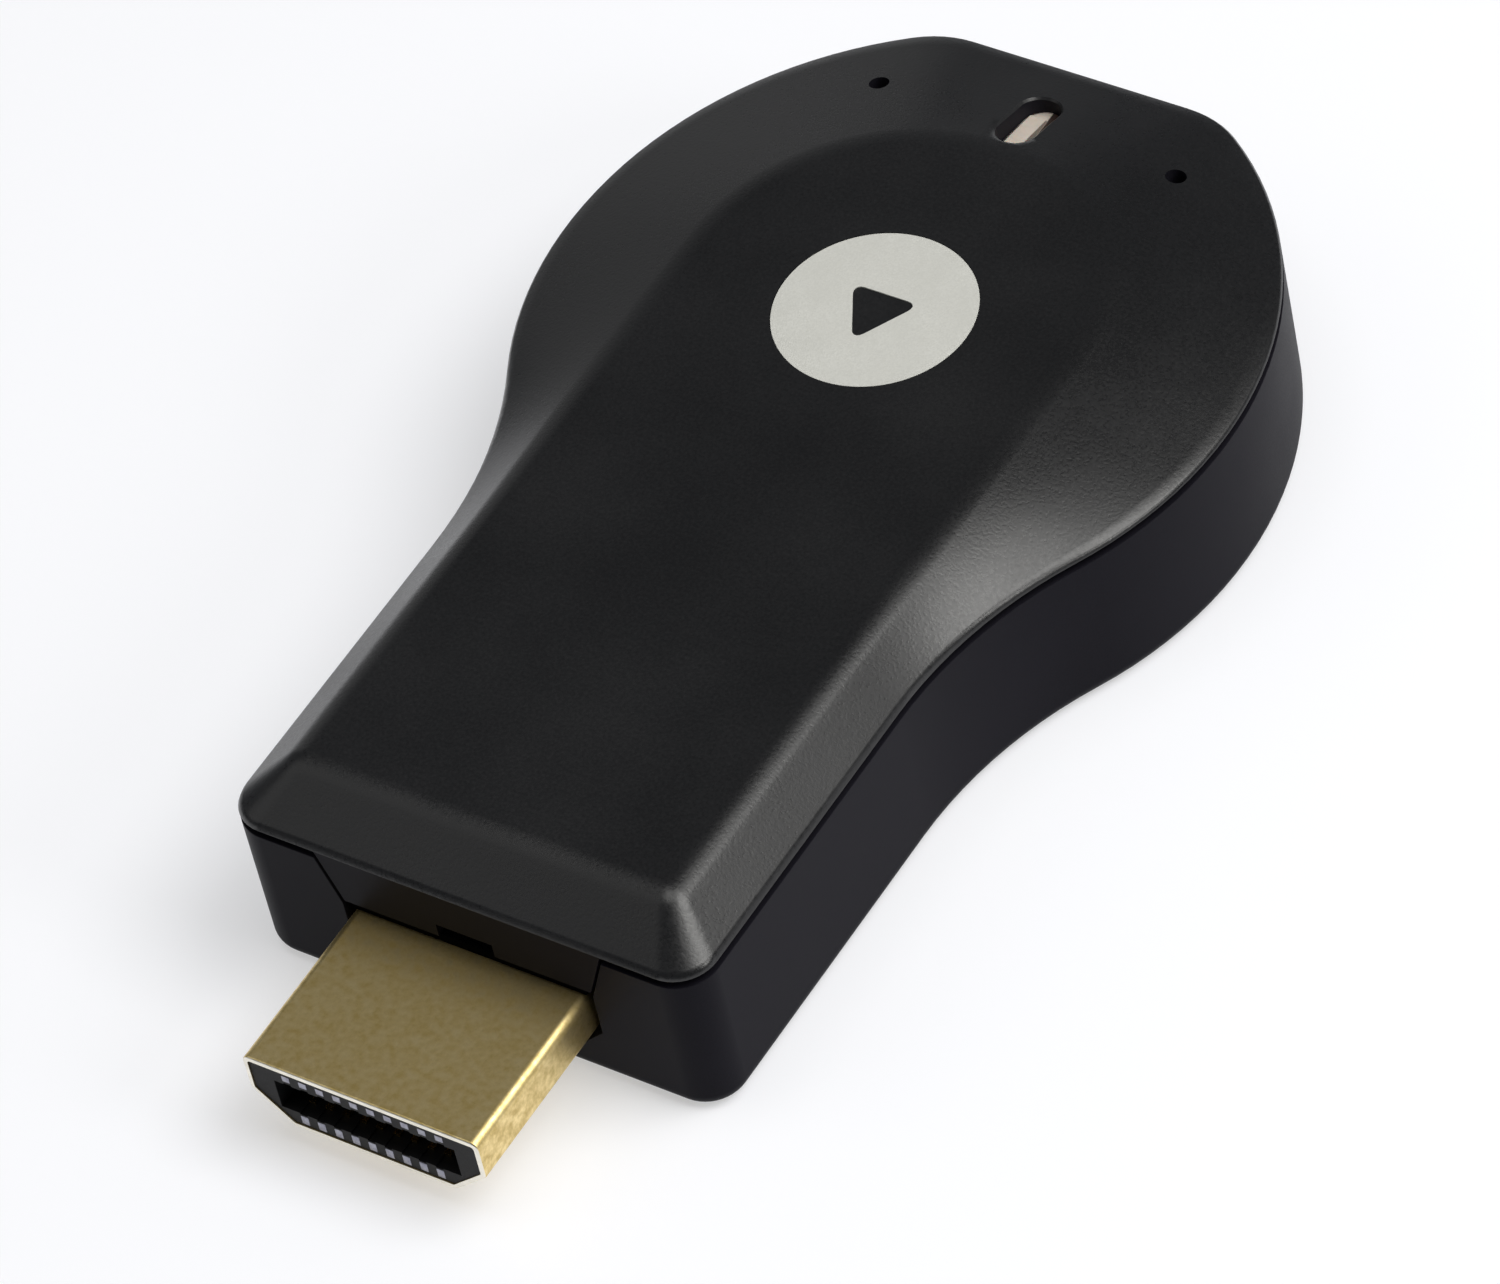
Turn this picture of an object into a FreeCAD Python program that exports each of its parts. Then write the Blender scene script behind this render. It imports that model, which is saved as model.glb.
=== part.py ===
"""Streaming stick: a keyhole-shaped plastic case with a display plug at its front.

Lengths are millimetres. X is across the stick, Y runs from the plug to the round
tail, Z is up. The origin is on the underside, at the middle of the overall box.
Every sub-part is drawn from the case's front face (Y = 0) on its centre line and is
moved into the part's frame by its Placement.
"""
import FreeCAD, Part
import Sketcher
import math
import os
import re

doc = FreeCAD.newDocument("streaming_stick")
sizes = doc.addObject("Spreadsheet::Sheet", "Sizes")

# Driving dimensions, one value each
DRIVING = {
    # Plan of the case at the rim, where the two shells meet
    "case_length": 61.35,
    "neck_width": 27.7,
    "head_width": 39.3,
    "tail_setback": 19.35,
    "front_corner": 2.2,
    "flare_radius": 25.0,
    "side_radius": 22.0,
    "tail_corner": 5.9,
    # Heights of the case
    "rim_height": 10.0,
    "crown_rise": 2.27,
    "edge_band": 0.2,
    "seam_gap": 0.35,
    "base_fillet": 1.0,
    # Raised panel on the top shell
    "panel_width": 22.3,
    "panel_front": 3.22,
    "panel_corner": 0.8,
    # Walls of the two shells
    "wall": 1.5,
    "floor_thickness": 1.4,
    "roof_thickness": 1.3,
    "roof_inset": 3.2,
    "panel_inset": 1.0,
    "inner_corner": 0.5,
    "lip_inset": 0.75,
    "lip_thickness": 0.65,
    "lip_depth": 1.5,
    "lip_clearance": 0.05,
    # Posts and pins that hold the board and join the shells
    "post_width": 3.4,
    "pin_width": 1.4,
    "pin_clearance": 0.05,
    "pin_depth": 1.2,
    "front_post_side": 9.5,
    "front_post_back": 9.0,
    "rear_post_side": 8.0,
    "rear_post_back": 7.2,
    # Display plug
    "plug_reach": 10.0,
    "plug_width": 13.9,
    "plug_height": 4.45,
    "plug_side": 2.46,
    "plug_bottom": 9.6,
    "plug_wall": 0.3,
    "plug_fillet": 0.5,
    "plug_lip": 0.12,
    "plug_depth": 5.0,
    "plug_below_rim": 4.0,
    "plug_leg_length": 2.6,
    "plug_leg_height": 2.4,
    "plug_gap": 0.4,
    "opening_rise": 0.3,
    "opening_flare": 1.25,
    "tongue_recess": 0.3,
    "tongue_thickness": 1.5,
    "tongue_notch_width": 3.3,
    "tongue_notch_rise": 1.1,
    "cradle_wall": 1.0,
    "cradle_start": 2.2,
    "cradle_length": 2.4,
    "cradle_height": 4.0,
    # Moulded core and contacts of the plug
    "core_setback": 0.35,
    "core_clearance": 0.02,
    "core_stop": 0.2,
    "core_rounding": 0.1,
    "mouth_width": 10.6,
    "mouth_height": 2.0,
    "mouth_depth": 6.2,
    "contact_width": 0.4,
    "contact_thickness": 0.2,
    "contact_pitch": 1.0,
    "contact_proud": 0.15,
    "contact_setback": 0.5,
    "contact_tail": 1.6,
    "contact_slack": 0.02,
    "contact_landing": 0.1,
    "upper_contacts": 10,
    "lower_contacts": 9,
    # Main board
    "board_thickness": 1.0,
    "board_inset": 2.3,
    "board_setback": 0.2,
    "board_corner": 0.5,
    "board_hole_clearance": 0.2,
    "clamp_gap": 0.05,
    # Components along the board's centre line
    "memory_width": 13.0,
    "memory_depth": 8.6,
    "memory_height": 1.0,
    "processor_size": 14.0,
    "processor_height": 1.2,
    "pad_size": 12.0,
    "pad_height": 1.0,
    "spreader_width": 15.0,
    "spreader_length": 26.0,
    "spreader_height": 0.8,
    "shield_size": 11.0,
    "shield_height": 1.7,
    "shield_sheet": 0.2,
    "radio_size": 5.0,
    "radio_height": 0.8,
    # Components beside the centre line
    "column_gap": 0.9,
    "flash_width": 4.0,
    "flash_depth": 5.0,
    "flash_height": 1.5,
    "flash_lead_reach": 1.0,
    "flash_lead_width": 0.4,
    "flash_lead_pitch": 1.27,
    "flash_lead_thickness": 0.2,
    "inductor_size": 4.0,
    "inductor_height": 1.6,
    "tantalum_width": 2.8,
    "tantalum_depth": 3.5,
    "tantalum_height": 1.9,
    "regulator_width": 2.9,
    "regulator_depth": 1.6,
    "regulator_height": 1.1,
    "regulator_gap": 2.45,
    "crystal_width": 3.2,
    "crystal_depth": 2.5,
    "crystal_height": 0.8,
    "crystal_gap": 3.05,
    "aerial_width": 2.0,
    "aerial_length": 7.0,
    "aerial_height": 1.1,
    "aerial_from_side": 6.25,
    "capacitor_length": 1.6,
    "capacitor_width": 0.8,
    "capacitor_pitch": 3.0,
    "resistor_length": 1.0,
    "resistor_width": 0.5,
    "resistor_height": 0.35,
    "resistor_pitch": 1.4,
    # Power socket in the tail
    "socket_width": 7.5,
    "socket_height": 2.5,
    "socket_side": 1.3,
    "socket_bottom": 5.6,
    "socket_depth": 5.0,
    "socket_wall": 0.25,
    "socket_fillet": 0.35,
    "socket_recess": 0.5,
    "socket_opening_width": 9.0,
    "socket_opening_height": 3.6,
    "socket_core": 1.2,
    "tab_width": 4.0,
    "tab_height": 0.6,
    "tab_length": 3.2,
    "tab_drop": 0.5,
    "pin_strip_width": 0.3,
    "pin_strip_thickness": 0.15,
    "pin_strip_pitch": 0.65,
    "pin_strip_tail": 0.8,
    "pin_strips": 5,
    # Indicator light and its pipe
    "slot_length": 4.5,
    "slot_width": 2.2,
    "slot_from_tail": 5.2,
    "pinhole_width": 1.1,
    "pinhole_side": 8.95,
    "pinhole_from_tail": 5.48,
    "pipe_plate_width": 5.0,
    "pipe_plate_length": 6.9,
    "pipe_plate_height": 0.8,
    "pipe_plate_from_tail": 2.45,
    "pipe_strip_width": 0.95,
    "pipe_strip_rise": 0.78,
    "pipe_strip_fall": 0.15,
    "pipe_leg_width": 1.6,
    "pipe_clearance": 0.1,
    "pipe_gap": 0.05,
    "led_width": 1.6,
    "led_depth": 0.8,
    "led_height": 0.6,
    "led_gap": 0.3,
    # Reset button in the side of the head, and its switch
    "button_length": 5.0,
    "button_height": 1.8,
    "button_sink": 0.15,
    "button_clearance": 0.12,
    "button_flange": 0.7,
    "button_flange_rim": 0.6,
    "button_travel": 0.25,
    "button_gap": 0.05,
    "button_notch_gap": 0.2,
    "switch_width": 4.6,
    "switch_height": 1.7,
    "switch_wall": 0.45,
    "switch_floor": 0.3,
    "cover_sheet": 0.15,
    "plunger_width": 1.8,
    "plunger_height": 0.8,
    "plunger_reach": 1.0,
    "plunger_head_width": 2.6,
    "plunger_head": 0.4,
    "plunger_slack": 0.05,
    "dome_sheet": 0.1,
    "dome_rest": 1.3,
    "dome_width": 3.0,
    "dome_height": 0.8,
}

# Sizes and places that follow from the driving dimensions
DERIVED = {
    "front_place": "plug_reach - (case_length + plug_reach) / 2",
    "head_centre": "case_length - tail_setback",
    "head_half": "head_width / 2",
    "neck_half": "neck_width / 2",
    "panel_half": "panel_width / 2",
    # Centres of the outline's arcs, and the directions in which they meet
    "side_centre": "head_half - side_radius",
    "flare_side": "neck_half + flare_radius",
    "flare_drop": "sqrt((side_radius + flare_radius)^2 - (flare_side - side_centre)^2)",
    "flare_centre": "head_centre - flare_drop",
    "joint_across": "(flare_side - side_centre) / (side_radius + flare_radius)",
    "joint_along": "-flare_drop / (side_radius + flare_radius)",
    "corner_rise": "case_length - tail_corner - head_centre",
    "corner_run": "sqrt((side_radius - tail_corner)^2 - corner_rise^2)",
    "corner_side": "side_centre + corner_run",
    "corner_across": "corner_run / (side_radius - tail_corner)",
    "corner_along": "corner_rise / (side_radius - tail_corner)",
    # Where the panel's round end faces the ends of the tail corner
    "corner_start_x": "side_centre + side_radius * corner_across",
    "corner_start_y": "side_radius * corner_along",
    "corner_start_far": "sqrt(corner_start_x^2 + corner_start_y^2)",
    "corner_end_far": "sqrt(corner_side^2 + tail_setback^2)",
    # Levels
    "wall_top": "rim_height - edge_band - seam_gap",
    "plug_top": "rim_height - plug_below_rim",
    "plug_centre": "plug_top - plug_height / 2",
    "board_top": "plug_centre + board_thickness / 2",
    "board_under": "plug_centre - board_thickness / 2",
    "post_root": "crown_rise - roof_thickness / 2",
    "rebate_inset": "lip_inset - lip_clearance",
    # Rows on the board
    "board_front": "plug_depth + board_setback",
    "row_start": "board_front + contact_landing + contact_tail",
    "led_centre": "case_length - pipe_plate_from_tail - pipe_plate_length + pipe_leg_width / 2",
    "row_end": "led_centre - pipe_leg_width / 2",
    "row_gap": "(row_end - row_start - memory_depth - processor_size - shield_size) / 4",
    "memory_place": "row_start + row_gap + memory_depth / 2",
    "processor_place": "memory_place + memory_depth / 2 + row_gap + processor_size / 2",
    "shield_place": "processor_place + processor_size / 2 + row_gap + shield_size / 2",
    "column_side": "processor_size / 2 + column_gap",
    "rear_post_place": "head_centre + rear_post_back",
    "inductors_front": "head_centre - 2 * inductor_size - column_gap",
    "regulator_place": "inductors_front - regulator_gap - regulator_depth / 2",
    "crystal_place": "regulator_place - regulator_depth / 2 - crystal_gap - crystal_depth / 2",
    # Faces of the button and switch, measured from the centre line towards -X
    "button_face": "head_half - button_sink",
    "wall_face": "head_half - wall",
    "flange_sag": "(button_length / 2 + button_flange_rim)^2 / (2 * (side_radius - wall))",
    "flange_face": "wall_face - flange_sag - button_gap",
    "flange_back": "flange_face - button_flange",
    "plunger_face": "flange_back - button_gap",
    "dome_rise": "button_travel + dome_rest",
    "switch_depth": "2 * switch_wall + 3 * plunger_slack + plunger_head + dome_rise",
    "switch_face": "plunger_face - plunger_reach",
    "switch_back": "switch_face - switch_depth",
    "button_level": "board_top + switch_height / 2",
    "chamber_face": "switch_face - switch_wall",
    "chamber_back": "switch_back + switch_wall",
    # Power socket
    "socket_face": "case_length - socket_recess",
    "socket_rear": "socket_face - socket_depth",
    "socket_past_flat": "max(socket_opening_width / 2 - corner_side; 0)",
    "socket_cut": "tail_corner - sqrt((tail_corner - wall)^2 - socket_past_flat^2)",
    "socket_level": "board_top + socket_height / 2",
    "tab_level": "socket_height - socket_wall - tab_drop - tab_height",
}


def fill_sheet():
    """Write each size and formula in a row of its own, under its alias."""
    for row, (name, number) in enumerate(DRIVING.items(), start=1):
        sizes.set("A%d" % row, name)
        sizes.set("B%d" % row, str(number))
        sizes.setAlias("B%d" % row, name)
    for row, (name, formula) in enumerate(DERIVED.items(), start=len(DRIVING) + 1):
        sizes.set("A%d" % row, name)
        sizes.set("B%d" % row, "=" + formula)
        sizes.setAlias("B%d" % row, name)
    doc.recompute()


fill_sheet()
NAMES = set(DRIVING) | set(DERIVED)


def bound(formula):
    """The formula with each size's name pointing at the sheet."""
    def cell(found):
        word = found.group(0)
        return "Sizes." + word if word in NAMES else word
    return re.sub(r"[a-z][a-z_]*", cell, formula)


def number(formula):
    """What a formula comes to with the sheet's present sizes."""
    return float(sizes.evalExpression(formula))


def bind(thing, **formulas):
    """Tie properties of an object to formulas; a double underscore stands for a dot."""
    for name, formula in formulas.items():
        thing.setExpression(name.replace("__", "."), bound(formula))


def place(thing, x="0", y="0", z="0"):
    """Place a sub-part, with y measured from the case's front face."""
    bind(thing, Placement__Base__x=x, Placement__Base__y="front_place + " + y, Placement__Base__z=z)


def new_body(label):
    body = doc.addObject("PartDesign::Body", label)
    body.Label = label
    return body


def new_sketch(body, name, plane="XY_Plane", level="0"):
    """A sketch on one of the body's own planes, moved along its normal by a level."""
    sketch = body.newObject("Sketcher::SketchObject", name)
    support = [f for f in body.Origin.OriginFeatures if f.Role == plane][0]
    sketch.AttachmentSupport = (support, [""])
    sketch.MapMode = "FlatFace"
    bind(sketch, AttachmentOffset__Base__z=level)
    return sketch


def fix(sketch, kind, where, formula):
    """Add one driving constraint and tie it to its formula."""
    index = sketch.addConstraint(Sketcher.Constraint(kind, *where, number(formula)))
    sketch.setExpression("Constraints[%d]" % index, bound(formula))


def arc_between(start, end, radius, side):
    """A circle arc from start to end; side is +1 with its centre on the left of the way."""
    chord = end.sub(start)
    middle = start.add(end).multiply(0.5)
    height = max(radius ** 2 - (chord.Length / 2) ** 2, 0.0) ** 0.5
    left = FreeCAD.Vector(-chord.y, chord.x, 0).normalize()
    centre = middle.add(left.multiply(side * height))
    first, last = (start, end) if side > 0 else (end, start)
    axis = FreeCAD.Vector(1, 0, 0)
    turns = []
    for point in (first, last):
        spoke = point.sub(centre)
        angle = axis.getAngle(spoke)
        turns.append(angle if spoke.y >= 0 else -angle)
    circle = Part.Circle(centre, FreeCAD.Vector(0, 0, 1), radius)
    return Part.ArcOfCircle(circle, turns[0], turns[1])


def draw_loop(sketch, corners):
    """Draw a closed loop of lines and arcs.

    Each corner is (x, y) or (x, y, radius, side): with a radius, the stretch to the
    next corner is an arc. All are formulas except side.
    """
    points = [FreeCAD.Vector(number(c[0]), number(c[1]), 0) for c in corners]
    ends = []
    for i, corner in enumerate(corners):
        start, end = points[i], points[(i + 1) % len(points)]
        if len(corner) == 2:
            index = sketch.addGeometry(Part.LineSegment(start, end), False)
            ends.append((index, 1, 2))
        else:
            arc = arc_between(start, end, number(corner[2]), corner[3])
            index = sketch.addGeometry(arc, False)
            ends.append((index, 1, 2) if corner[3] > 0 else (index, 2, 1))
    for i, corner in enumerate(corners):
        index, start, end = ends[i]
        follower, follower_start, unused = ends[(i + 1) % len(ends)]
        sketch.addConstraint(Sketcher.Constraint("Coincident", index, end, follower, follower_start))
        fix(sketch, "DistanceX", (-1, 1, index, start), corner[0])
        fix(sketch, "DistanceY", (-1, 1, index, start), corner[1])
        if len(corner) > 2:
            fix(sketch, "Radius", (index,), corner[2])


def draw_rectangle(sketch, x, y, width, height):
    left, right = "%s - (%s) / 2" % (x, width), "%s + (%s) / 2" % (x, width)
    low, high = "%s - (%s) / 2" % (y, height), "%s + (%s) / 2" % (y, height)
    draw_loop(sketch, [(left, low), (right, low), (right, high), (left, high)])


def draw_circle(sketch, x, y, width):
    centre = FreeCAD.Vector(number(x), number(y), 0)
    circle = Part.Circle(centre, FreeCAD.Vector(0, 0, 1), number(width) / 2)
    index = sketch.addGeometry(circle, False)
    fix(sketch, "DistanceX", (-1, 1, index, 3), x)
    fix(sketch, "DistanceY", (-1, 1, index, 3), y)
    fix(sketch, "Radius", (index,), "(%s) / 2" % width)


def draw_obround(sketch, x, y, length, width, upright=False):
    """A slot with round ends, along the sketch's X or, upright, along its Y."""
    reach = (number(length) - number(width)) / 2
    radius = number(width) / 2
    centre = FreeCAD.Vector(number(x), number(y), 0)
    way = FreeCAD.Vector(0, 1, 0) if upright else FreeCAD.Vector(1, 0, 0)
    side = FreeCAD.Vector(-way.y, way.x, 0)
    far, near = centre + way * reach, centre - way * reach
    turn = way.getAngle(FreeCAD.Vector(1, 0, 0))
    quarter = math.pi / 2
    up = FreeCAD.Vector(0, 0, 1)
    geometry = [
        Part.ArcOfCircle(Part.Circle(far, up, radius), turn - quarter, turn + quarter),
        Part.LineSegment(far + side * radius, near + side * radius),
        Part.ArcOfCircle(Part.Circle(near, up, radius), turn + quarter, turn + 3 * quarter),
        Part.LineSegment(near - side * radius, far - side * radius),
    ]
    first = [sketch.addGeometry(g, False) for g in geometry][0]
    for i in range(4):
        sketch.addConstraint(Sketcher.Constraint("Tangent", first + i, 2, first + (i + 1) % 4, 1))
    run = "((%s) - (%s)) / 2" % (length, width)
    along, across = ("DistanceY", "DistanceX") if upright else ("DistanceX", "DistanceY")
    middle, aside = (y, x) if upright else (x, y)
    fix(sketch, along, (-1, 1, first, 3), "%s + %s" % (middle, run))
    fix(sketch, across, (-1, 1, first, 3), aside)
    fix(sketch, along, (-1, 1, first + 2, 3), "%s - %s" % (middle, run))
    fix(sketch, "Radius", (first,), "(%s) / 2" % width)


def mirrored(corners):
    """The right half of an outline, followed by its mirror image on the left.

    A corner's arc leads to the next corner, so on the way back it belongs to the
    corner after it.
    """
    left = []
    for i in range(len(corners) - 1, -1, -1):
        x, y = corners[i][0], corners[i][1]
        arc = corners[i - 1][2:] if i > 0 else ()
        left.append(("-(%s)" % x, y) + tuple(arc))
    return corners + left


def case_outline(inset="0", corner="front_corner", front=None):
    """The case's keyhole outline, or one parallel to it that lies inset from it."""
    front = front or inset
    side = "side_radius - (%s)" % inset
    neck = "neck_half - (%s)" % inset
    return mirrored([
        ("%s - (%s)" % (neck, corner), front, corner, 1),
        (neck, "%s + (%s)" % (front, corner)),
        (neck, "flare_centre", "flare_radius + (%s)" % inset, -1),
        ("side_centre + (%s) * joint_across" % side, "head_centre + (%s) * joint_along" % side, side, 1),
        ("head_half - (%s)" % inset, "head_centre", side, 1),
        ("side_centre + (%s) * corner_across" % side, "head_centre + (%s) * corner_along" % side,
         "tail_corner - (%s)" % inset, 1),
        ("corner_side", "case_length - (%s)" % inset),
    ])


def panel_outline(inset="0", corner="panel_corner"):
    """The raised panel's outline, with one corner for each of the case outline's."""
    half = "(panel_half - (%s))" % inset
    front = "panel_front + (%s)" % inset
    return mirrored([
        ("%s - %s" % (half, corner), front, corner, 1),
        (half, "%s + %s" % (front, corner)),
        (half, "flare_centre"),
        (half, "head_centre + side_radius * joint_along"),
        (half, "head_centre", half, 1),
        ("%s * corner_start_x / corner_start_far" % half,
         "head_centre + %s * corner_start_y / corner_start_far" % half, half, 1),
        ("%s * corner_side / corner_end_far" % half,
         "head_centre + %s * tail_setback / corner_end_far" % half, half, 1),
    ])


def pad(body, name, sketch, length, back=False):
    feature = body.newObject("PartDesign::Pad", name)
    feature.Profile = sketch
    feature.Reversed = back
    bind(feature, Length=length)
    return feature


def pocket(body, name, sketch, length, back=False):
    feature = body.newObject("PartDesign::Pocket", name)
    feature.Profile = sketch
    feature.Reversed = back
    bind(feature, Length=length)
    return feature


def loft(body, name, low, high, cut=False):
    kind = "PartDesign::SubtractiveLoft" if cut else "PartDesign::AdditiveLoft"
    feature = body.newObject(kind, name)
    feature.Profile = low
    feature.Sections = [high]
    feature.Ruled = True
    return feature


def round_edges(body, name, radius, wanted):
    """Fillet the edges of the body's last feature that the test picks."""
    doc.recompute()
    base = body.Tip
    names = ["Edge%d" % i for i, edge in enumerate(base.Shape.Edges, start=1) if wanted(edge)]
    feature = body.newObject("PartDesign::Fillet", name)
    feature.Base = (base, names)
    bind(feature, Radius=radius)
    return feature


def repeat_along_x(body, name, features, count, pitch):
    """Repeat features along X; the first copy is the one already made."""
    doc.recompute()
    pattern = body.newObject("PartDesign::LinearPattern", name)
    pattern.Originals = features
    pattern.Direction = ([f for f in body.Origin.OriginFeatures if f.Role == "X_Axis"][0], [""])
    pattern.Mode = "Spacing"
    bind(pattern, Offset=pitch, Occurrences=count)
    body.Tip = pattern
    return pattern


def new_box(name, width, depth, height, x="0", y="0", z="0"):
    """A box standing on z with its middle at x, y; y is from the case's front face."""
    box = doc.addObject("Part::Box", name)
    bind(box, Length=width, Width=depth, Height=height)
    place(box, "%s - (%s) / 2" % (x, width), "%s - (%s) / 2" % (y, depth), z)
    return box


def new_group(label, members):
    """Separate solids that are one node."""
    group = doc.addObject("Part::Compound", label)
    group.Label = label
    group.Links = members
    return group


POSTS = [
    (side + across, along)
    for across, along in (("front_post_side", "front_post_back"), ("rear_post_side", "rear_post_place"))
    for side in ("", "-")
]


def make_top_shell():
    """Cover: sloped crown, raised panel, lip, plug tongue, posts and pins."""
    body = new_body("top_shell")
    place(body, z="rim_height")
    rim = new_sketch(body, "top_rim")
    draw_loop(rim, case_outline())
    panel = new_sketch(body, "top_panel", level="crown_rise")
    draw_loop(panel, panel_outline())
    loft(body, "crown", rim, panel)
    band = new_sketch(body, "band_outline")
    draw_loop(band, case_outline())
    pad(body, "band", band, "edge_band", back=True)

    hollow_low = new_sketch(body, "hollow_low", level="-edge_band")
    draw_loop(hollow_low, case_outline("roof_inset", "inner_corner"))
    hollow_high = new_sketch(body, "hollow_high", level="crown_rise - roof_thickness")
    draw_loop(hollow_high, panel_outline("panel_inset", "inner_corner"))
    loft(body, "hollow", hollow_low, hollow_high, cut=True)

    lip = new_sketch(body, "lip_ring", level="-edge_band")
    draw_loop(lip, case_outline("lip_inset", "front_corner - lip_inset"))
    draw_loop(lip, case_outline("lip_inset + lip_thickness", "front_corner - lip_inset - lip_thickness"))
    pad(body, "lip", lip, "seam_gap + lip_depth", back=True)

    low = "plug_top + opening_rise - rim_height"
    half = "(plug_width / 2 + plug_gap - pipe_clearance)"
    notch = "%s + tongue_notch_rise" % low
    tongue = new_sketch(body, "tongue_outline", "XZ_Plane", "-tongue_recess")
    draw_loop(tongue, [
        ("-%s" % half, low),
        ("-tongue_notch_width / 2", low),
        ("-tongue_notch_width / 2", notch),
        ("tongue_notch_width / 2", notch),
        ("tongue_notch_width / 2", low),
        (half, low),
        ("%s + opening_flare" % half, "0"),
        ("-(%s + opening_flare)" % half, "0"),
    ])
    pad(body, "tongue", tongue, "tongue_thickness", back=True)

    posts = new_sketch(body, "post_circles", level="post_root")
    pins = new_sketch(body, "pin_circles", level="post_root")
    for x, y in POSTS:
        draw_circle(posts, x, y, "post_width")
        draw_circle(pins, x, y, "pin_width")
    pad(body, "posts", posts, "post_root + rim_height - board_top - clamp_gap", back=True)
    pad(body, "pins", pins, "post_root + rim_height - board_under + pin_depth", back=True)

    slot = new_sketch(body, "slot_outline", level="crown_rise")
    draw_obround(slot, "0", "case_length - slot_from_tail", "slot_length", "slot_width", upright=True)
    pocket(body, "slot", slot, "crown_rise + 2 * edge_band")
    holes = new_sketch(body, "pinhole_circles", level="crown_rise")
    for side in ("", "-"):
        draw_circle(holes, side + "pinhole_side", "case_length - pinhole_from_tail", "pinhole_width")
    pocket(body, "pinholes", holes, "crown_rise + 2 * edge_band")
    return body


def make_bottom_shell():
    """Tub: walls with a rebate for the lip, openings, board posts and plug cradle."""
    body = new_body("bottom_shell")
    place(body)
    base = new_sketch(body, "base_outline")
    draw_loop(base, case_outline())
    pad(body, "tub", base, "wall_top")
    round_edges(body, "base_round", "base_fillet", lambda edge: edge.BoundBox.ZMax < 1e-6)

    inside = new_sketch(body, "inside_outline", level="wall_top")
    draw_loop(inside, case_outline("wall", "front_corner - wall"))
    pocket(body, "inside", inside, "wall_top - floor_thickness")
    rebate = new_sketch(body, "rebate_outline", level="wall_top")
    draw_loop(rebate, case_outline("rebate_inset", "front_corner - rebate_inset"))
    pocket(body, "rebate", rebate, "lip_depth + lip_clearance")

    half = "(plug_width / 2 + plug_gap)"
    rise = "plug_top + opening_rise"
    corner = "plug_top - plug_side"
    mouth = new_sketch(body, "plug_opening_outline", "XZ_Plane")
    draw_loop(mouth, [
        ("-(plug_bottom / 2 + plug_gap)", "floor_thickness"),
        ("plug_bottom / 2 + plug_gap", "floor_thickness"),
        (half, corner),
        (half, rise),
        ("%s + opening_flare" % half, "rim_height"),
        ("-(%s + opening_flare)" % half, "rim_height"),
        ("-%s" % half, rise),
        ("-%s" % half, corner),
    ])
    pocket(body, "plug_opening", mouth, "wall")

    tail = new_sketch(body, "socket_opening_outline", "XZ_Plane", "-case_length")
    draw_obround(tail, "0", "socket_level", "socket_opening_width", "socket_opening_height")
    pocket(body, "socket_opening", tail, "socket_cut", back=True)

    side = new_sketch(body, "button_opening_outline", "YZ_Plane", "-head_half")
    draw_obround(side, "head_centre", "button_level",
                 "button_length + 2 * button_clearance", "button_height + 2 * button_clearance")
    pocket(body, "button_opening", side, "wall + flange_sag + button_clearance", back=True)

    posts = new_sketch(body, "board_post_circles", level="floor_thickness / 2")
    sockets = new_sketch(body, "pin_socket_circles", level="board_under")
    for x, y in POSTS:
        draw_circle(posts, x, y, "post_width")
        draw_circle(sockets, x, y, "pin_width + 2 * pin_clearance")
    pad(body, "board_posts", posts, "board_under - floor_thickness / 2")
    pocket(body, "pin_sockets", sockets, "pin_depth + pin_clearance")

    cradle = new_sketch(body, "cradle_outline", level="floor_thickness / 2")
    for side in ("", "-"):
        centre = side + "(plug_width / 2 + lip_clearance + cradle_wall / 2)"
        draw_rectangle(cradle, centre, "cradle_start + cradle_length / 2", "cradle_wall", "cradle_length")
    pad(body, "cradle", cradle, "cradle_height + floor_thickness / 2")
    return body


def make_main_board():
    """Circuit board: case outline cut off behind the plug, with post and leg cut-outs."""
    body = new_body("main_board")
    place(body, z="board_under")
    outline = new_sketch(body, "board_outline")
    draw_loop(outline, case_outline("board_inset", "board_corner", "board_front"))
    pad(body, "laminate", outline, "board_thickness")
    holes = new_sketch(body, "board_holes", level="board_thickness")
    for x, y in POSTS:
        draw_circle(holes, x, y, "pin_width + 2 * board_hole_clearance")
    pocket(body, "pin_holes", holes, "board_thickness")
    notches = new_sketch(body, "leg_notches", level="board_thickness")
    for side in ("", "-"):
        centre = side + "(plug_width / 2 - plug_wall / 2)"
        draw_rectangle(notches, centre, "plug_depth + plug_leg_length / 2",
                       "plug_wall + 2 * board_hole_clearance",
                       "plug_leg_length + 2 * board_hole_clearance")
    pocket(body, "leg_slots", notches, "board_thickness")
    bay = new_sketch(body, "button_bay_outline", level="board_thickness")
    reach = "(flange_back - button_travel - button_notch_gap)"
    draw_rectangle(bay, "-(head_half + %s) / 2" % reach, "head_centre", "head_half - %s" % reach,
                   "button_length + 2 * (button_flange_rim + button_notch_gap)")
    pocket(body, "button_bay", bay, "board_thickness")
    return body


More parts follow.
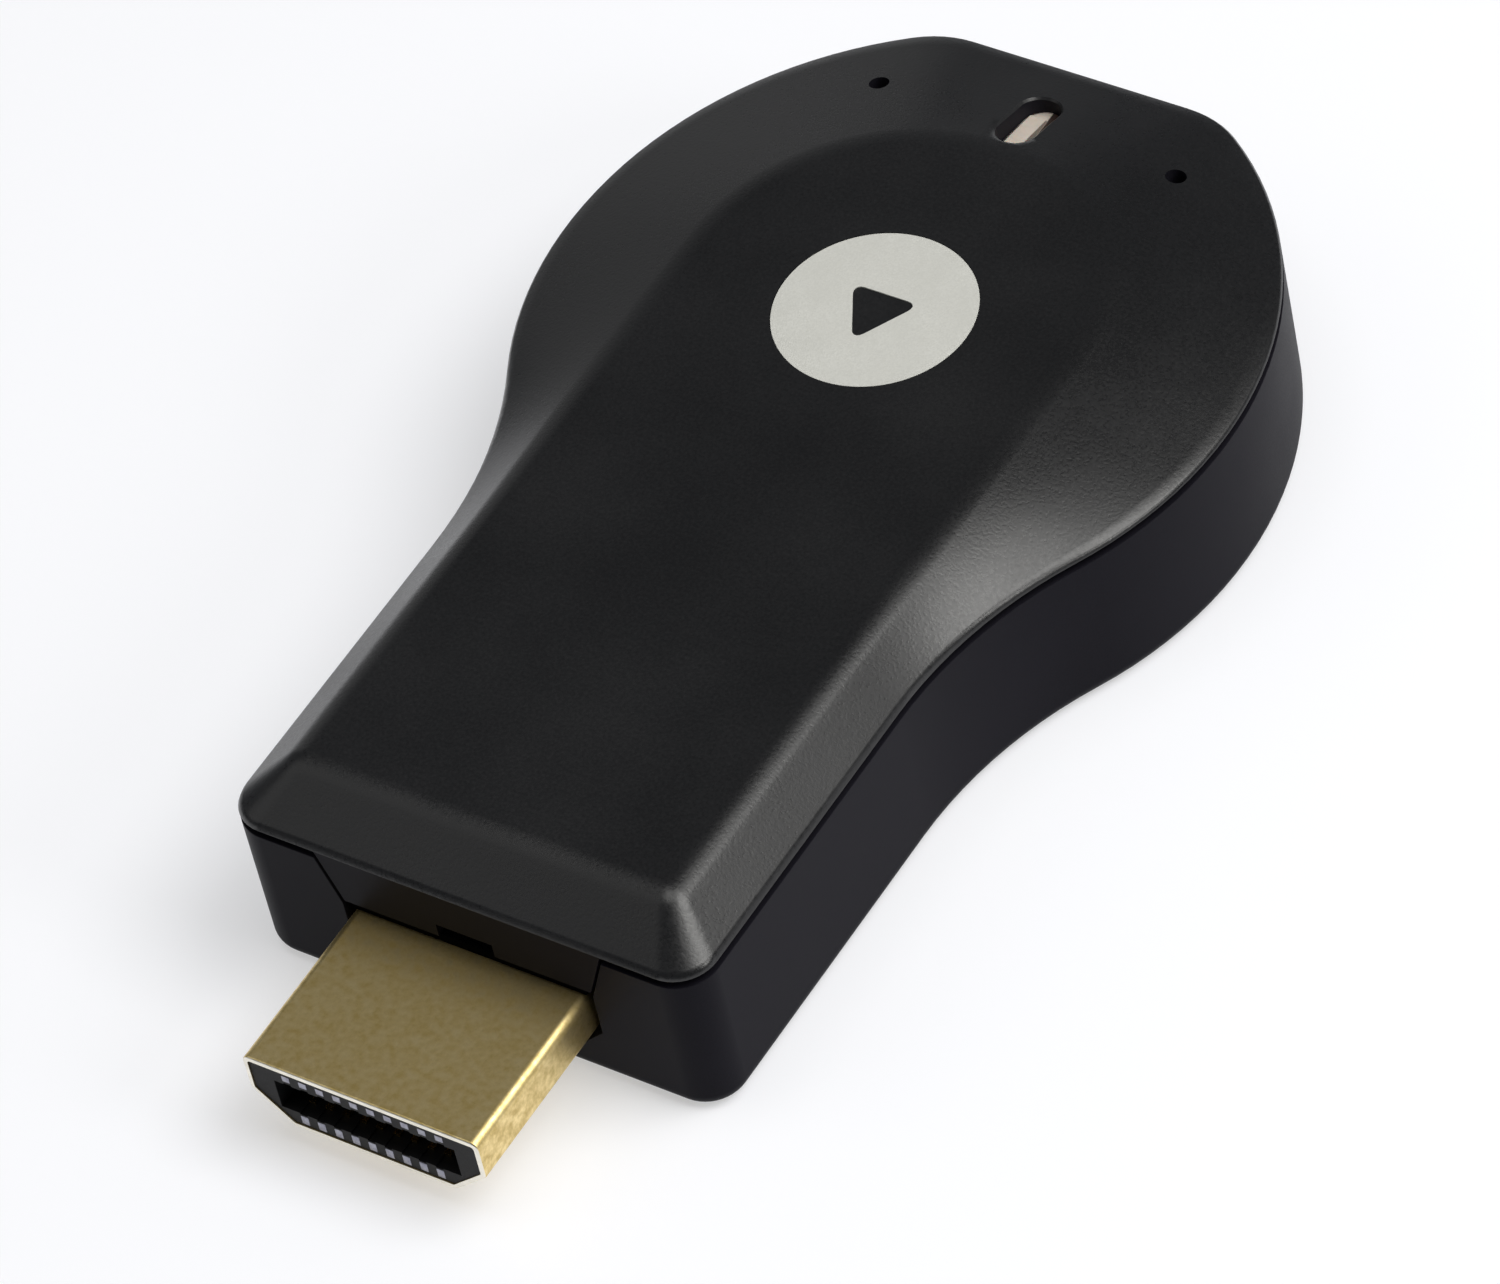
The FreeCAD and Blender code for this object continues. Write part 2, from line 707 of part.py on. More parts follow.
def shroud_outline(width, height, side, bottom, inset="0"):
    """A connector's outline: upright sides, then bevels to a narrower bottom.

    Its middle is the origin, and an inset moves every side inwards by as much.
    """
    slope = "sqrt(((%s) - (%s))^2 / 4 + ((%s) - (%s))^2)" % (width, bottom, height, side)
    cosine = "(((%s) - (%s)) / 2 / %s)" % (width, bottom, slope)
    sine = "(((%s) - (%s)) / %s)" % (height, side, slope)
    foot = "(%s) / 2 - (%s) * %s / (1 + %s)" % (bottom, inset, sine, cosine)
    knee = "(%s) / 2 - (%s) + (%s) * %s / (1 + %s)" % (height, side, inset, cosine, sine)
    wide = "(%s) / 2 - (%s)" % (width, inset)
    low = "-((%s) / 2) + (%s)" % (height, inset)
    high = "(%s) / 2 - (%s)" % (height, inset)
    return [(foot, low), (wide, knee), (wide, high),
            ("-(%s)" % wide, high), ("-(%s)" % wide, knee), ("-(%s)" % foot, low)]


def lengthwise(edge):
    """Whether an edge runs along Y."""
    box = edge.BoundBox
    return box.YLength > 1e-3 and box.XLength < 1e-6 and box.ZLength < 1e-6


def make_plug_shell():
    """Plated sheet-metal shell of the display plug, with two solder legs."""
    body = new_body("plug_shell")
    place(body, z="plug_centre")
    shape = ("plug_width", "plug_height", "plug_side", "plug_bottom")
    outer = new_sketch(body, "shell_outer", "XZ_Plane", "plug_reach")
    draw_loop(outer, shroud_outline(*shape))
    pad(body, "shell_block", outer, "plug_reach + plug_depth", back=True)
    round_edges(body, "shell_rounds", "plug_fillet", lengthwise)
    tip = -number("plug_reach")
    round_edges(body, "tip_round", "plug_lip", lambda edge: edge.BoundBox.YMax < tip + 1e-6)
    inner = new_sketch(body, "shell_inner", "XZ_Plane", "plug_reach")
    draw_loop(inner, shroud_outline(*shape, "plug_wall"))
    pocket(body, "shell_bore", inner, "plug_reach + plug_depth")
    half = number("plug_width / 2 - plug_wall")
    top = number("plug_height / 2 - plug_wall")

    def inner_corner(edge):
        box = edge.BoundBox
        return lengthwise(edge) and abs(box.XMax) <= half + 1e-6 and abs(box.ZMax) <= top + 1e-6
    round_edges(body, "bore_rounds", "plug_fillet - plug_wall", inner_corner)
    leg = new_sketch(body, "leg_outline", "YZ_Plane", "plug_width / 2 - plug_wall")
    draw_rectangle(leg, "plug_depth - plug_wall + (plug_leg_length + plug_wall) / 2", "0",
                   "plug_leg_length + plug_wall", "plug_leg_height")
    pad(body, "right_leg", leg, "plug_wall")
    other = new_sketch(body, "other_leg_outline", "YZ_Plane", "-plug_width / 2")
    draw_rectangle(other, "plug_depth - plug_wall + (plug_leg_length + plug_wall) / 2", "0",
                   "plug_leg_length + plug_wall", "plug_leg_height")
    pad(body, "left_leg", other, "plug_wall")
    return body


def make_plug_insulator():
    """Black moulded core of the plug: mouth for the mating tongue and contact grooves."""
    body = new_body("plug_insulator")
    place(body, z="plug_centre")
    outer = new_sketch(body, "core_outer", "XZ_Plane", "plug_reach - core_setback")
    draw_loop(outer, shroud_outline("plug_width", "plug_height", "plug_side", "plug_bottom",
                                    "plug_wall + core_clearance"))
    pad(body, "core_block", outer, "plug_reach - core_setback + plug_depth - core_stop", back=True)
    round_edges(body, "core_rounds", "plug_fillet - plug_wall + core_rounding", lengthwise)
    mouth = new_sketch(body, "mouth_outline", "XZ_Plane", "plug_reach - core_setback")
    draw_rectangle(mouth, "0", "0", "mouth_width", "mouth_height")
    pocket(body, "mouth", mouth, "mouth_depth")
    depth = "contact_thickness + contact_slack"
    for name, sign, count in (("upper", "", "upper_contacts"), ("lower", "-", "lower_contacts")):
        groove = new_sketch(body, name + "_groove", "XZ_Plane", "plug_reach - core_setback")
        level = "%s(mouth_height / 2 - contact_proud + (%s) / 2)" % (sign, depth)
        draw_rectangle(groove, "-(%s - 1) * contact_pitch / 2" % count, level,
                       "contact_width + 2 * contact_slack", "%s + 2 * contact_slack" % depth)
        cut = pocket(body, name + "_slot", groove, "plug_reach + plug_depth")
        repeat_along_x(body, name + "_grooves", [cut], count, "contact_pitch")
    return body


def make_plug_contacts(label, sign, count):
    """A row of flat plug contacts, stepped at the rear to lie on the board's pads."""
    body = new_body(label)
    place(body, z="plug_centre")
    near = "%s(mouth_height / 2 - contact_proud)" % sign
    far = "%s(mouth_height / 2 - contact_proud + contact_thickness)" % sign
    pad_level = "%sboard_thickness / 2" % sign
    pad_back = "%s(board_thickness / 2 + contact_thickness)" % sign
    start = "-plug_reach + core_setback + contact_setback"
    bend = "plug_depth - core_stop + contact_slack"
    landing = "board_front + contact_landing"
    strip = new_sketch(body, label + "_strip", "YZ_Plane",
                       "-(%s - 1) * contact_pitch / 2 - contact_width / 2" % count)
    draw_loop(strip, [
        (start, near),
        (bend, near),
        (landing, pad_level),
        ("%s + contact_tail" % landing, pad_level),
        ("%s + contact_tail" % landing, pad_back),
        ("%s + contact_thickness / 2" % landing, pad_back),
        ("%s + contact_thickness / 2" % bend, far),
        (start, far),
    ])
    first = pad(body, label + "_first", strip, "contact_width")
    repeat_along_x(body, label + "_row", [first], count, "contact_pitch")
    return body


def make_board_parts():
    """Chips and small parts on the board."""
    chips = [
        ("processor", "processor_size", "processor_size", "processor_height", "0", "processor_place"),
        ("memory_chip", "memory_width", "memory_depth", "memory_height", "0", "memory_place"),
        ("radio_chip", "radio_size", "radio_size", "radio_height", "0", "shield_place"),
        ("clock_crystal", "crystal_width", "crystal_depth", "crystal_height",
         "column_side + crystal_width / 2", "crystal_place"),
        ("radio_crystal", "crystal_depth", "crystal_depth", "crystal_height",
         "-(shield_size / 2 + column_gap + crystal_depth / 2)", "shield_place - crystal_depth / 4"),
        ("chip_aerial", "aerial_width", "aerial_length", "aerial_height",
         "head_half - aerial_from_side", "rear_post_place - column_gap"),
    ]
    nodes = [new_box(name, w, d, tall, x, y, "board_top") for name, w, d, tall, x, y in chips]

    pad_level = "board_top + processor_height"
    nodes.append(new_box("thermal_pad", "pad_size", "pad_size", "pad_height",
                         "0", "processor_place", pad_level))
    nodes.append(new_box("heat_spreader", "spreader_width", "spreader_length", "spreader_height",
                         "0", "processor_place", pad_level + " + pad_height"))

    side = "column_side + inductor_size / 2"
    coils = [
        new_box("inductor_%d" % i, "inductor_size", "inductor_size", "inductor_height", side,
                "head_centre - inductor_size / 2 - %d * (inductor_size + column_gap)" % i, "board_top")
        for i in range(2)
    ]
    nodes.append(new_group("power_inductors", coils))

    side = "column_side + inductor_size + column_gap + tantalum_width / 2"
    tanks = [
        new_box("tantalum_%d" % i, "tantalum_width", "tantalum_depth", "tantalum_height", side,
                "head_centre + column_gap - %d * (tantalum_depth + column_gap)" % i, "board_top")
        for i in range(2)
    ]
    nodes.append(new_group("tantalum_capacitors", tanks))

    places = [
        ("-(rear_post_side + post_width / 2 + column_gap + regulator_width / 2)", "rear_post_place"),
        ("column_side + regulator_width / 2", "regulator_place"),
    ]
    regulators = [
        new_box("regulator_%d" % i, "regulator_width", "regulator_depth", "regulator_height",
                x, y, "board_top")
        for i, (x, y) in enumerate(places)
    ]
    nodes.append(new_group("voltage_regulators", regulators))
    return nodes


def make_small_parts():
    """Ceramic capacitors under the processor, and chip resistors beside it."""
    capacitors = []
    for column in (-1.5, -0.5, 0.5, 1.5):
        for row in (-1, 0, 1):
            name = "capacitor_%d" % len(capacitors)
            capacitors.append(new_box(
                name, "capacitor_length", "capacitor_width", "capacitor_width",
                "%s * capacitor_pitch" % column, "processor_place + %d * capacitor_pitch" % row,
                "board_under - capacitor_width"))
    resistors = []
    for side in ("", "-"):
        for row in range(5):
            name = "resistor_%d" % len(resistors)
            resistors.append(new_box(
                name, "resistor_length", "resistor_width", "resistor_height",
                "%s(column_side + resistor_length / 2)" % side,
                "memory_place + (%d) * resistor_pitch" % (row - 1), "board_top"))
    return [new_group("ceramic_capacitors", capacitors), new_group("chip_resistors", resistors)]


def make_shield_can():
    """Thin metal can, open below, over the radio chip."""
    body = new_body("shield_can")
    place(body, y="shield_place", z="board_top")
    outer = new_sketch(body, "can_outer")
    draw_rectangle(outer, "0", "0", "shield_size", "shield_size")
    pad(body, "can_block", outer, "shield_height")
    inner = new_sketch(body, "can_inner")
    draw_rectangle(inner, "0", "0", "shield_size - 2 * shield_sheet", "shield_size - 2 * shield_sheet")
    pocket(body, "can_hollow", inner, "shield_height - shield_sheet", back=True)
    return body


def make_flash_chip():
    """Small-outline chip: moulded body and, as a node of their own, its eight leads."""
    x = "-(column_side + flash_lead_reach + flash_width / 2)"
    y = "head_centre - switch_width / 2 - column_gap - flash_depth / 2"
    moulding = new_box("flash_chip", "flash_width", "flash_depth", "flash_height",
                       x, y, "board_top + flash_lead_thickness")
    leads = []
    for side in ("", "-"):
        for row in (-1.5, -0.5, 0.5, 1.5):
            number_of_lead = len(leads)
            along = "%s + (%s) * flash_lead_pitch" % (y, row)
            reach = "%s %s (flash_width / 2 + flash_lead_reach / 2)" % (x, side or "+")
            foot = new_box("lead_foot_%d" % number_of_lead, "flash_lead_reach", "flash_lead_width",
                           "flash_lead_thickness", reach, along, "board_top")
            riser_at = "%s %s (flash_width / 2 + flash_lead_thickness / 2)" % (x, side or "+")
            riser = new_box("lead_riser_%d" % number_of_lead, "flash_lead_thickness",
                            "flash_lead_width", "flash_height / 2", riser_at, along, "board_top")
            lead = doc.addObject("Part::MultiFuse", "lead_%d" % number_of_lead)
            lead.Shapes = [foot, riser]
            leads.append(lead)
    return [moulding, new_group("flash_chip_leads", leads)]


def make_socket():
    """Power socket at the tail: folded shell, moulded tab and five contacts."""
    shape = ("socket_width", "socket_height", "socket_side", "socket_bottom")
    shell = new_body("usb_socket_shell")
    place(shell, z="socket_level")
    outer = new_sketch(shell, "socket_outer", "XZ_Plane", "-socket_face")
    draw_loop(outer, shroud_outline(*shape))
    pad(shell, "socket_block", outer, "socket_depth")
    round_edges(shell, "socket_rounds", "socket_fillet", lengthwise)
    inner = new_sketch(shell, "socket_inner", "XZ_Plane", "-socket_face")
    draw_loop(inner, shroud_outline(*shape, "socket_wall"))
    pocket(shell, "socket_bore", inner, "socket_depth", back=True)

    core = new_body("usb_socket_tongue")
    place(core, z="socket_level")
    plate = new_sketch(core, "socket_core_outline", "XZ_Plane", "-socket_rear")
    draw_loop(plate, shroud_outline(*shape, "socket_wall + core_clearance"))
    pad(core, "socket_core_block", plate, "socket_core", back=True)
    round_edges(core, "socket_core_rounds", "core_clearance + core_rounding", lengthwise)
    tab = new_sketch(core, "tab_outline", "XZ_Plane", "-socket_rear")
    level = "tab_level + tab_height / 2 - socket_height / 2"
    draw_rectangle(tab, "0", level, "tab_width", "tab_height")
    pad(core, "tab", tab, "socket_core + tab_length", back=True)
    slot = new_sketch(core, "strip_slot", "XZ_Plane", "-socket_rear")
    below = "tab_level - socket_height / 2 - pin_strip_thickness / 2 - contact_slack"
    draw_rectangle(slot, "0", below, "pin_strips * pin_strip_pitch",
                   "pin_strip_thickness + 2 * contact_slack")
    pocket(core, "strip_passage", slot, "socket_core")

    row = new_body("usb_socket_contacts")
    place(row, z="socket_level")
    high = "tab_level - socket_height / 2 - contact_slack"
    low = high + " - pin_strip_thickness"
    board = "-socket_height / 2"
    rear = "socket_rear - core_clearance"
    strip = new_sketch(row, "socket_strip", "YZ_Plane",
                       "-(pin_strips - 1) * pin_strip_pitch / 2 - pin_strip_width / 2")
    draw_loop(strip, [
        ("socket_rear + socket_core + tab_length - 2 * core_stop", high),
        (rear + " - pin_strip_thickness", high),
        (rear + " - pin_strip_thickness", board + " + pin_strip_thickness"),
        (rear + " - pin_strip_tail", board + " + pin_strip_thickness"),
        (rear + " - pin_strip_tail", board),
        (rear, board),
        (rear, low),
        ("socket_rear + socket_core + tab_length - 2 * core_stop", low),
    ])
    first = pad(row, "first_strip", strip, "pin_strip_width")
    repeat_along_x(row, "strip_row", [first], "pin_strips", "pin_strip_pitch")
    return [shell, core, row]


def make_light_pipe():
    """Milky light pipe: plate under the roof, strip in the slot, leg down to the light."""
    body = new_body("light_pipe")
    place(body, y="case_length", z="rim_height - edge_band - pipe_gap")
    plate = new_sketch(body, "plate_outline")
    middle = "-pipe_plate_from_tail - pipe_plate_length / 2"
    draw_rectangle(plate, "0", middle, "pipe_plate_width", "pipe_plate_length")
    pad(body, "plate", plate, "pipe_plate_height", back=True)
    front = "-slot_from_tail - slot_length / 2 + pipe_clearance + slot_width / 4"
    back = "-slot_from_tail + slot_length / 2 - pipe_clearance - slot_width / 4"
    strip = new_sketch(body, "strip_outline", "YZ_Plane", "pipe_clearance - slot_width / 2")
    draw_loop(strip, [
        (front, "-pipe_plate_height / 2"),
        (back, "-pipe_plate_height / 2"),
        (back, "pipe_strip_fall"),
        (front, "pipe_strip_rise"),
    ])
    pad(body, "strip", strip, "pipe_strip_width")
    leg = new_sketch(body, "pipe_leg_outline")
    draw_rectangle(leg, "0", "led_centre - case_length", "pipe_leg_width", "pipe_leg_width")
    pad(body, "leg", leg, "rim_height - edge_band - pipe_gap - board_top - led_height - led_gap", back=True)
    lamp = new_box("indicator_led", "led_width", "led_depth", "led_height", "0", "led_centre", "board_top")
    return [body, lamp]


def make_reset_button():
    """Side key: an obround cap in the wall's opening, with a flange behind the wall."""
    body = new_body("reset_button")
    place(body, y="head_centre", z="button_level")
    cap = new_sketch(body, "cap_outline", "YZ_Plane", "-button_face")
    draw_obround(cap, "0", "0", "button_length", "button_height")
    pad(body, "cap", cap, "button_face - flange_back")
    flange = new_sketch(body, "flange_outline", "YZ_Plane", "-flange_face")
    draw_obround(flange, "0", "0", "button_length + 2 * button_flange_rim",
                 "button_height + 2 * (button_flange_rim - button_gap)")
    pad(body, "flange", flange, "button_flange")
    return body


def make_switch():
    """Side-push switch: housing, cover plate, spring leaf and plunger."""
    housing = new_body("switch_body")
    place(housing, y="head_centre", z="board_top")
    block = new_sketch(housing, "housing_outline")
    draw_rectangle(block, "-switch_face + switch_depth / 2", "0", "switch_depth", "switch_width")
    pad(housing, "housing_block", block, "switch_height - cover_sheet")
    room = new_sketch(housing, "chamber_outline", level="switch_height - cover_sheet")
    draw_rectangle(room, "-(chamber_face + chamber_back) / 2", "0",
                   "chamber_face - chamber_back", "switch_width - 2 * switch_wall")
    pocket(housing, "chamber", room, "switch_height - cover_sheet - switch_floor")
    gate = new_sketch(housing, "gate_outline", "YZ_Plane", "-switch_face")
    draw_rectangle(gate, "0", "switch_height / 2", "plunger_width + 2 * plunger_slack",
                   "plunger_height + 2 * plunger_slack")
    pocket(housing, "gate", gate, "switch_wall", back=True)

    cover = new_box("switch_cover", "switch_depth", "switch_width", "cover_sheet",
                    "-switch_face + switch_depth / 2", "head_centre",
                    "board_top + switch_height - cover_sheet")

    plunger = new_body("switch_plunger")
    place(plunger, y="head_centre", z="button_level")
    stem = new_sketch(plunger, "stem_outline", "YZ_Plane", "-plunger_face")
    draw_rectangle(stem, "0", "0", "plunger_width", "plunger_height")
    pad(plunger, "stem", stem, "plunger_face - chamber_face + plunger_slack + plunger_head")
    head = new_sketch(plunger, "head_outline", "YZ_Plane", "-chamber_face + plunger_slack")
    draw_rectangle(head, "0", "0", "plunger_head_width", "plunger_height")
    pad(plunger, "head", head, "plunger_head")

    leaf = new_body("switch_dome")
    place(leaf, y="head_centre", z="button_level - dome_height / 2")
    crown = "-chamber_face + 2 * plunger_slack + plunger_head"
    foot = "-chamber_back - plunger_slack"
    radius = "((dome_width^2 / 4 + dome_rise^2) / (2 * dome_rise))"
    profile = new_sketch(leaf, "leaf_outline")
    draw_loop(profile, [
        (foot, "dome_width / 2", radius, 1),
        (crown, "0", radius, 1),
        (foot, "-dome_width / 2"),
        (foot, "-dome_width / 2 + dome_sheet * 1.5", radius + " - dome_sheet", -1),
        ("%s + dome_sheet" % crown, "0", radius + " - dome_sheet", -1),
        (foot, "dome_width / 2 - dome_sheet * 1.5"),
    ])
    pad(leaf, "leaf", profile, "dome_height")
    return [housing, cover, plunger, leaf]


def check_and_export(nodes):
    """Stop on any failed object, then write each node's shape to its own file."""
    doc.recompute()
    for thing in doc.Objects:
        if "Invalid" in thing.State or "Error" in thing.State:
            raise RuntimeError("failed object: %s %s" % (thing.Name, thing.State))
    for node in nodes:
        if node.Shape.isNull() or not node.Shape.isValid():
            raise RuntimeError("bad shape: " + node.Label)
    os.makedirs("parts", exist_ok=True)
    for node in nodes:
        node.Shape.exportStep("parts/%s.step" % node.Label)
        print("%-22s %d solid(s) %9.3f mm3" % (node.Label, len(node.Shape.Solids), node.Shape.Volume))


nodes = [
    make_top_shell(),
    make_bottom_shell(),
    make_main_board(),
    make_plug_shell(),
    make_plug_insulator(),
    make_plug_contacts("plug_contacts_upper", "", "upper_contacts"),
    make_plug_contacts("plug_contacts_lower", "-", "lower_contacts"),
    make_shield_can(),
    make_reset_button(),
]
nodes += make_board_parts() + make_small_parts() + make_flash_chip()
nodes += make_socket() + make_light_pipe() + make_switch()
check_and_export(nodes)
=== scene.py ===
# %% [markdown]
# A streaming stick, dressed for the camera.
#
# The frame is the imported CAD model: every node is already at its real size and place,
# in metres, with Y from the plug to the tail and Z up. This lesson adds what CAD leaves
# out: a smooth skin for the cover, softened edges, the printed badge, the finish of each
# material, a camera and light. Each step says what the real thing is and why it is made
# this way.

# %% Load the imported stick
import bmesh
import bpy
import math
from mathutils import Matrix, Vector


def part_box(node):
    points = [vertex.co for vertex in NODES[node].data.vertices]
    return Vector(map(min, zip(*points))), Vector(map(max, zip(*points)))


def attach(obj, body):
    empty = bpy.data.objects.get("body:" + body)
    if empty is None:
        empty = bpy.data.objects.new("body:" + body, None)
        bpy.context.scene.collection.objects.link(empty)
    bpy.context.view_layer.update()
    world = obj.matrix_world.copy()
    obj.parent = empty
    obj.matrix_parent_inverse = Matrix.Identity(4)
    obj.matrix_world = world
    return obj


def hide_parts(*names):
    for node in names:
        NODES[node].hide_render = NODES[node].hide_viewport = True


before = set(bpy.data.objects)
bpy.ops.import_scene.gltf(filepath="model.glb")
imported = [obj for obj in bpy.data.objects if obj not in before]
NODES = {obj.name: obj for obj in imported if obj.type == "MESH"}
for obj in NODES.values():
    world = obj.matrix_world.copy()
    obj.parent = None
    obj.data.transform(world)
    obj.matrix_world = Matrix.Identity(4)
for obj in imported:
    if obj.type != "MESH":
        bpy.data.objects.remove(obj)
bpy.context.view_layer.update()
MM = 0.001

# %% [markdown]
# The camera comes first, because everything else is judged through it. Its place, turn
# and lens were fitted to the outline of the stick in the photograph, with the plug's
# standard width as the scale. It is a long lens from a third of a metre up, tilted a
# little, so parallel edges stay nearly parallel. The roll is what tips the stick over
# in the picture, so it is written as an angle rather than hidden in a matrix.

# %% Camera
CAMERA_PLACE = Vector((204.4, -231.6, 333.3)) * MM
AZIMUTH, ELEVATION, ROLL = (math.radians(a) for a in (41.44, 46.97, -13.49))
FOCAL_LENGTH, SENSOR_WIDTH = 214.76, 36.0
CLIP_START = 0.01

camera_data = bpy.data.cameras.new("camera")
camera = bpy.data.objects.new("camera", camera_data)
bpy.context.scene.collection.objects.link(camera)
bpy.context.scene.camera = camera
camera_data.lens = FOCAL_LENGTH
camera_data.sensor_width = SENSOR_WIDTH
camera_data.clip_start = CLIP_START
back = Vector((math.sin(AZIMUTH) * math.cos(ELEVATION),
               -math.cos(AZIMUTH) * math.cos(ELEVATION), math.sin(ELEVATION)))
level_right = Vector((0, 0, 1)).cross(back).normalized()
level_up = back.cross(level_right)
right = level_right * math.cos(ROLL) + level_up * math.sin(ROLL)
up = back.cross(right)
camera.matrix_world = Matrix((right, up, back)).transposed().to_4x4()
camera.location = CAMERA_PLACE
print("camera looks along", -back)

# %% [markdown]
# Materials are built from shader nodes. One function adds a node with its settings and
# its inputs, one turns a web colour into the linear values that a renderer works with,
# and one starts a material whose Principled shader is ready to be fed. Patterns are
# measured in millimetres: the object coordinates are metres, so a pattern whose grains
# are 0.15 mm apart gets a scale of 1000 / 0.15.


# %% Helpers for materials
def colour(web):
    """A colour written as #rrggbb, as linear red, green, blue and alpha."""
    parts = [int(web[i:i + 2], 16) / 255 for i in (1, 3, 5)]
    return [p / 12.92 if p <= 0.04045 else ((p + 0.055) / 1.055) ** 2.4 for p in parts] + [1.0]


def add_node(tree, kind, inputs=None, **settings):
    """Add a node; inputs are values or sockets, by name or by number."""
    made = tree.nodes.new(kind)
    for name, value in settings.items():
        setattr(made, name, value)
    for name, value in (inputs or {}).items():
        if isinstance(value, bpy.types.NodeSocket):
            tree.links.new(value, made.inputs[name])
        else:
            made.inputs[name].default_value = value
    return made


def per_mm(size):
    """The scale that gives a pattern features of this size in millimetres."""
    return 1.0 / (size * MM)


def start_material(name, **values):
    """A new material, with values set on its Principled shader's own sockets."""
    material = bpy.data.materials.new(name)
    material.use_nodes = True
    tree = material.node_tree
    shader = tree.nodes["Principled BSDF"]
    for socket, value in values.items():
        shader.inputs[socket.replace("_", " ")].default_value = value
    place = add_node(tree, "ShaderNodeTexCoord").outputs["Object"]
    return material, tree, shader, place


def finish_with(tree, shader, base=None, roughness=None, normal=None):
    """Feed what was built to the shader."""
    for socket, value in (("Base Color", base), ("Roughness", roughness), ("Normal", normal)):
        if value is not None:
            tree.links.new(value, shader.inputs[socket])


# %% [markdown]
# The case is injection-moulded black ABS. The mould was eroded by sparks, which leaves a
# fine, even grain on the plastic: up close the slopes sparkle slightly, and from further
# off they look satin. The grain is a noise about 0.18 mm across that moves the bump and,
# a little, the roughness. That is coarser than the real grain, which would be too fine to
# show. A second, much larger noise stands for the uneven flow of the melt, so that no
# large face is one flat grey. All the moulded plastics of the stick share this recipe,
# with their own tones, grain and gloss. The tub's mould was left matt, so its specular
# level is low: its walls stay dark even beside a white floor.


# %% Moulded plastics
FLOW_SIZE = 9.0
RIPPLE = 0.06


def moulded_plastic(name, dark, light, grain, depth, roughness, **values):
    material, tree, shader, place = start_material(name, **{"IOR": 1.53, **values})
    fine = add_node(tree, "ShaderNodeTexNoise",
                    {"Vector": place, "Scale": per_mm(grain), "Detail": 2.0, "Roughness": 0.6})
    flow = add_node(tree, "ShaderNodeTexNoise",
                    {"Vector": place, "Scale": per_mm(FLOW_SIZE), "Detail": 3.0})
    both = add_node(tree, "ShaderNodeMath", {0: fine.outputs["Fac"], 1: flow.outputs["Fac"]},
                    operation="ADD")
    tone = add_node(tree, "ShaderNodeMapRange",
                    {"Value": both.outputs[0], "From Min": 0.7, "From Max": 1.3})
    base = add_node(tree, "ShaderNodeMix", {0: tone.outputs[0], 6: colour(dark), 7: colour(light)},
                    data_type="RGBA")
    rough = add_node(tree, "ShaderNodeMapRange",
                     {"Value": tone.outputs[0], "To Min": roughness - RIPPLE,
                      "To Max": roughness + RIPPLE})
    bump = add_node(tree, "ShaderNodeBump",
                    {"Height": fine.outputs["Fac"], "Distance": depth * MM, "Strength": 1.0})
    finish_with(tree, shader, base.outputs[2], rough.outputs[0], bump.outputs["Normal"])
    return material


COVER_ABS = moulded_plastic("spark_eroded_black_ABS", "#0c0c0d", "#141415", grain=0.18,
                            depth=0.009, roughness=0.31, Specular_IOR_Level=0.52)
TUB_ABS = moulded_plastic("matt_black_ABS", "#16151b", "#1e1d23", grain=0.10, depth=0.003,
                          roughness=0.45, Specular_IOR_Level=0.04)
BUTTON_ABS = moulded_plastic("polished_black_ABS", "#1a1a1d", "#232327", grain=0.08, depth=0.002,
                             roughness=0.30)
CORE_NYLON = moulded_plastic("glass_filled_black_nylon", "#0b0b0c", "#131314", grain=0.12,
                             depth=0.004, roughness=0.55, Specular_IOR_Level=0.2)
CHIP_EPOXY = moulded_plastic("moulded_chip_epoxy", "#1c1c1e", "#2a2a2c", grain=0.07, depth=0.004,
                             roughness=0.62)
TANTALUM_EPOXY = moulded_plastic("moulded_yellow_epoxy", "#b27a1a", "#c98f2b", grain=0.20,
                                 depth=0.004, roughness=0.38)
ACETAL = moulded_plastic("moulded_white_acetal", "#c9c8c2", "#dad9d4", grain=0.15, depth=0.003,
                         roughness=0.35, IOR=1.48)
SILICONE = moulded_plastic("silicone_thermal_pad", "#7d8b9c", "#8d9bac", grain=0.25, depth=0.02,
                           roughness=0.80, IOR=1.41)
print("plastics:", [m.name for m in bpy.data.materials])

# %% [markdown]
# The metals are thin sheet, rolled and then plated in a bath. Rolling leaves faint lines
# along the strip, and the bath a cloudy sheen about a millimetre or two across, which
# breaks up the reflections. The colour of a metal is the colour of its reflection, so
# each gets two near tones and a roughness that follow the same cloud. The lines are a
# noise stretched along Y by a Mapping node.


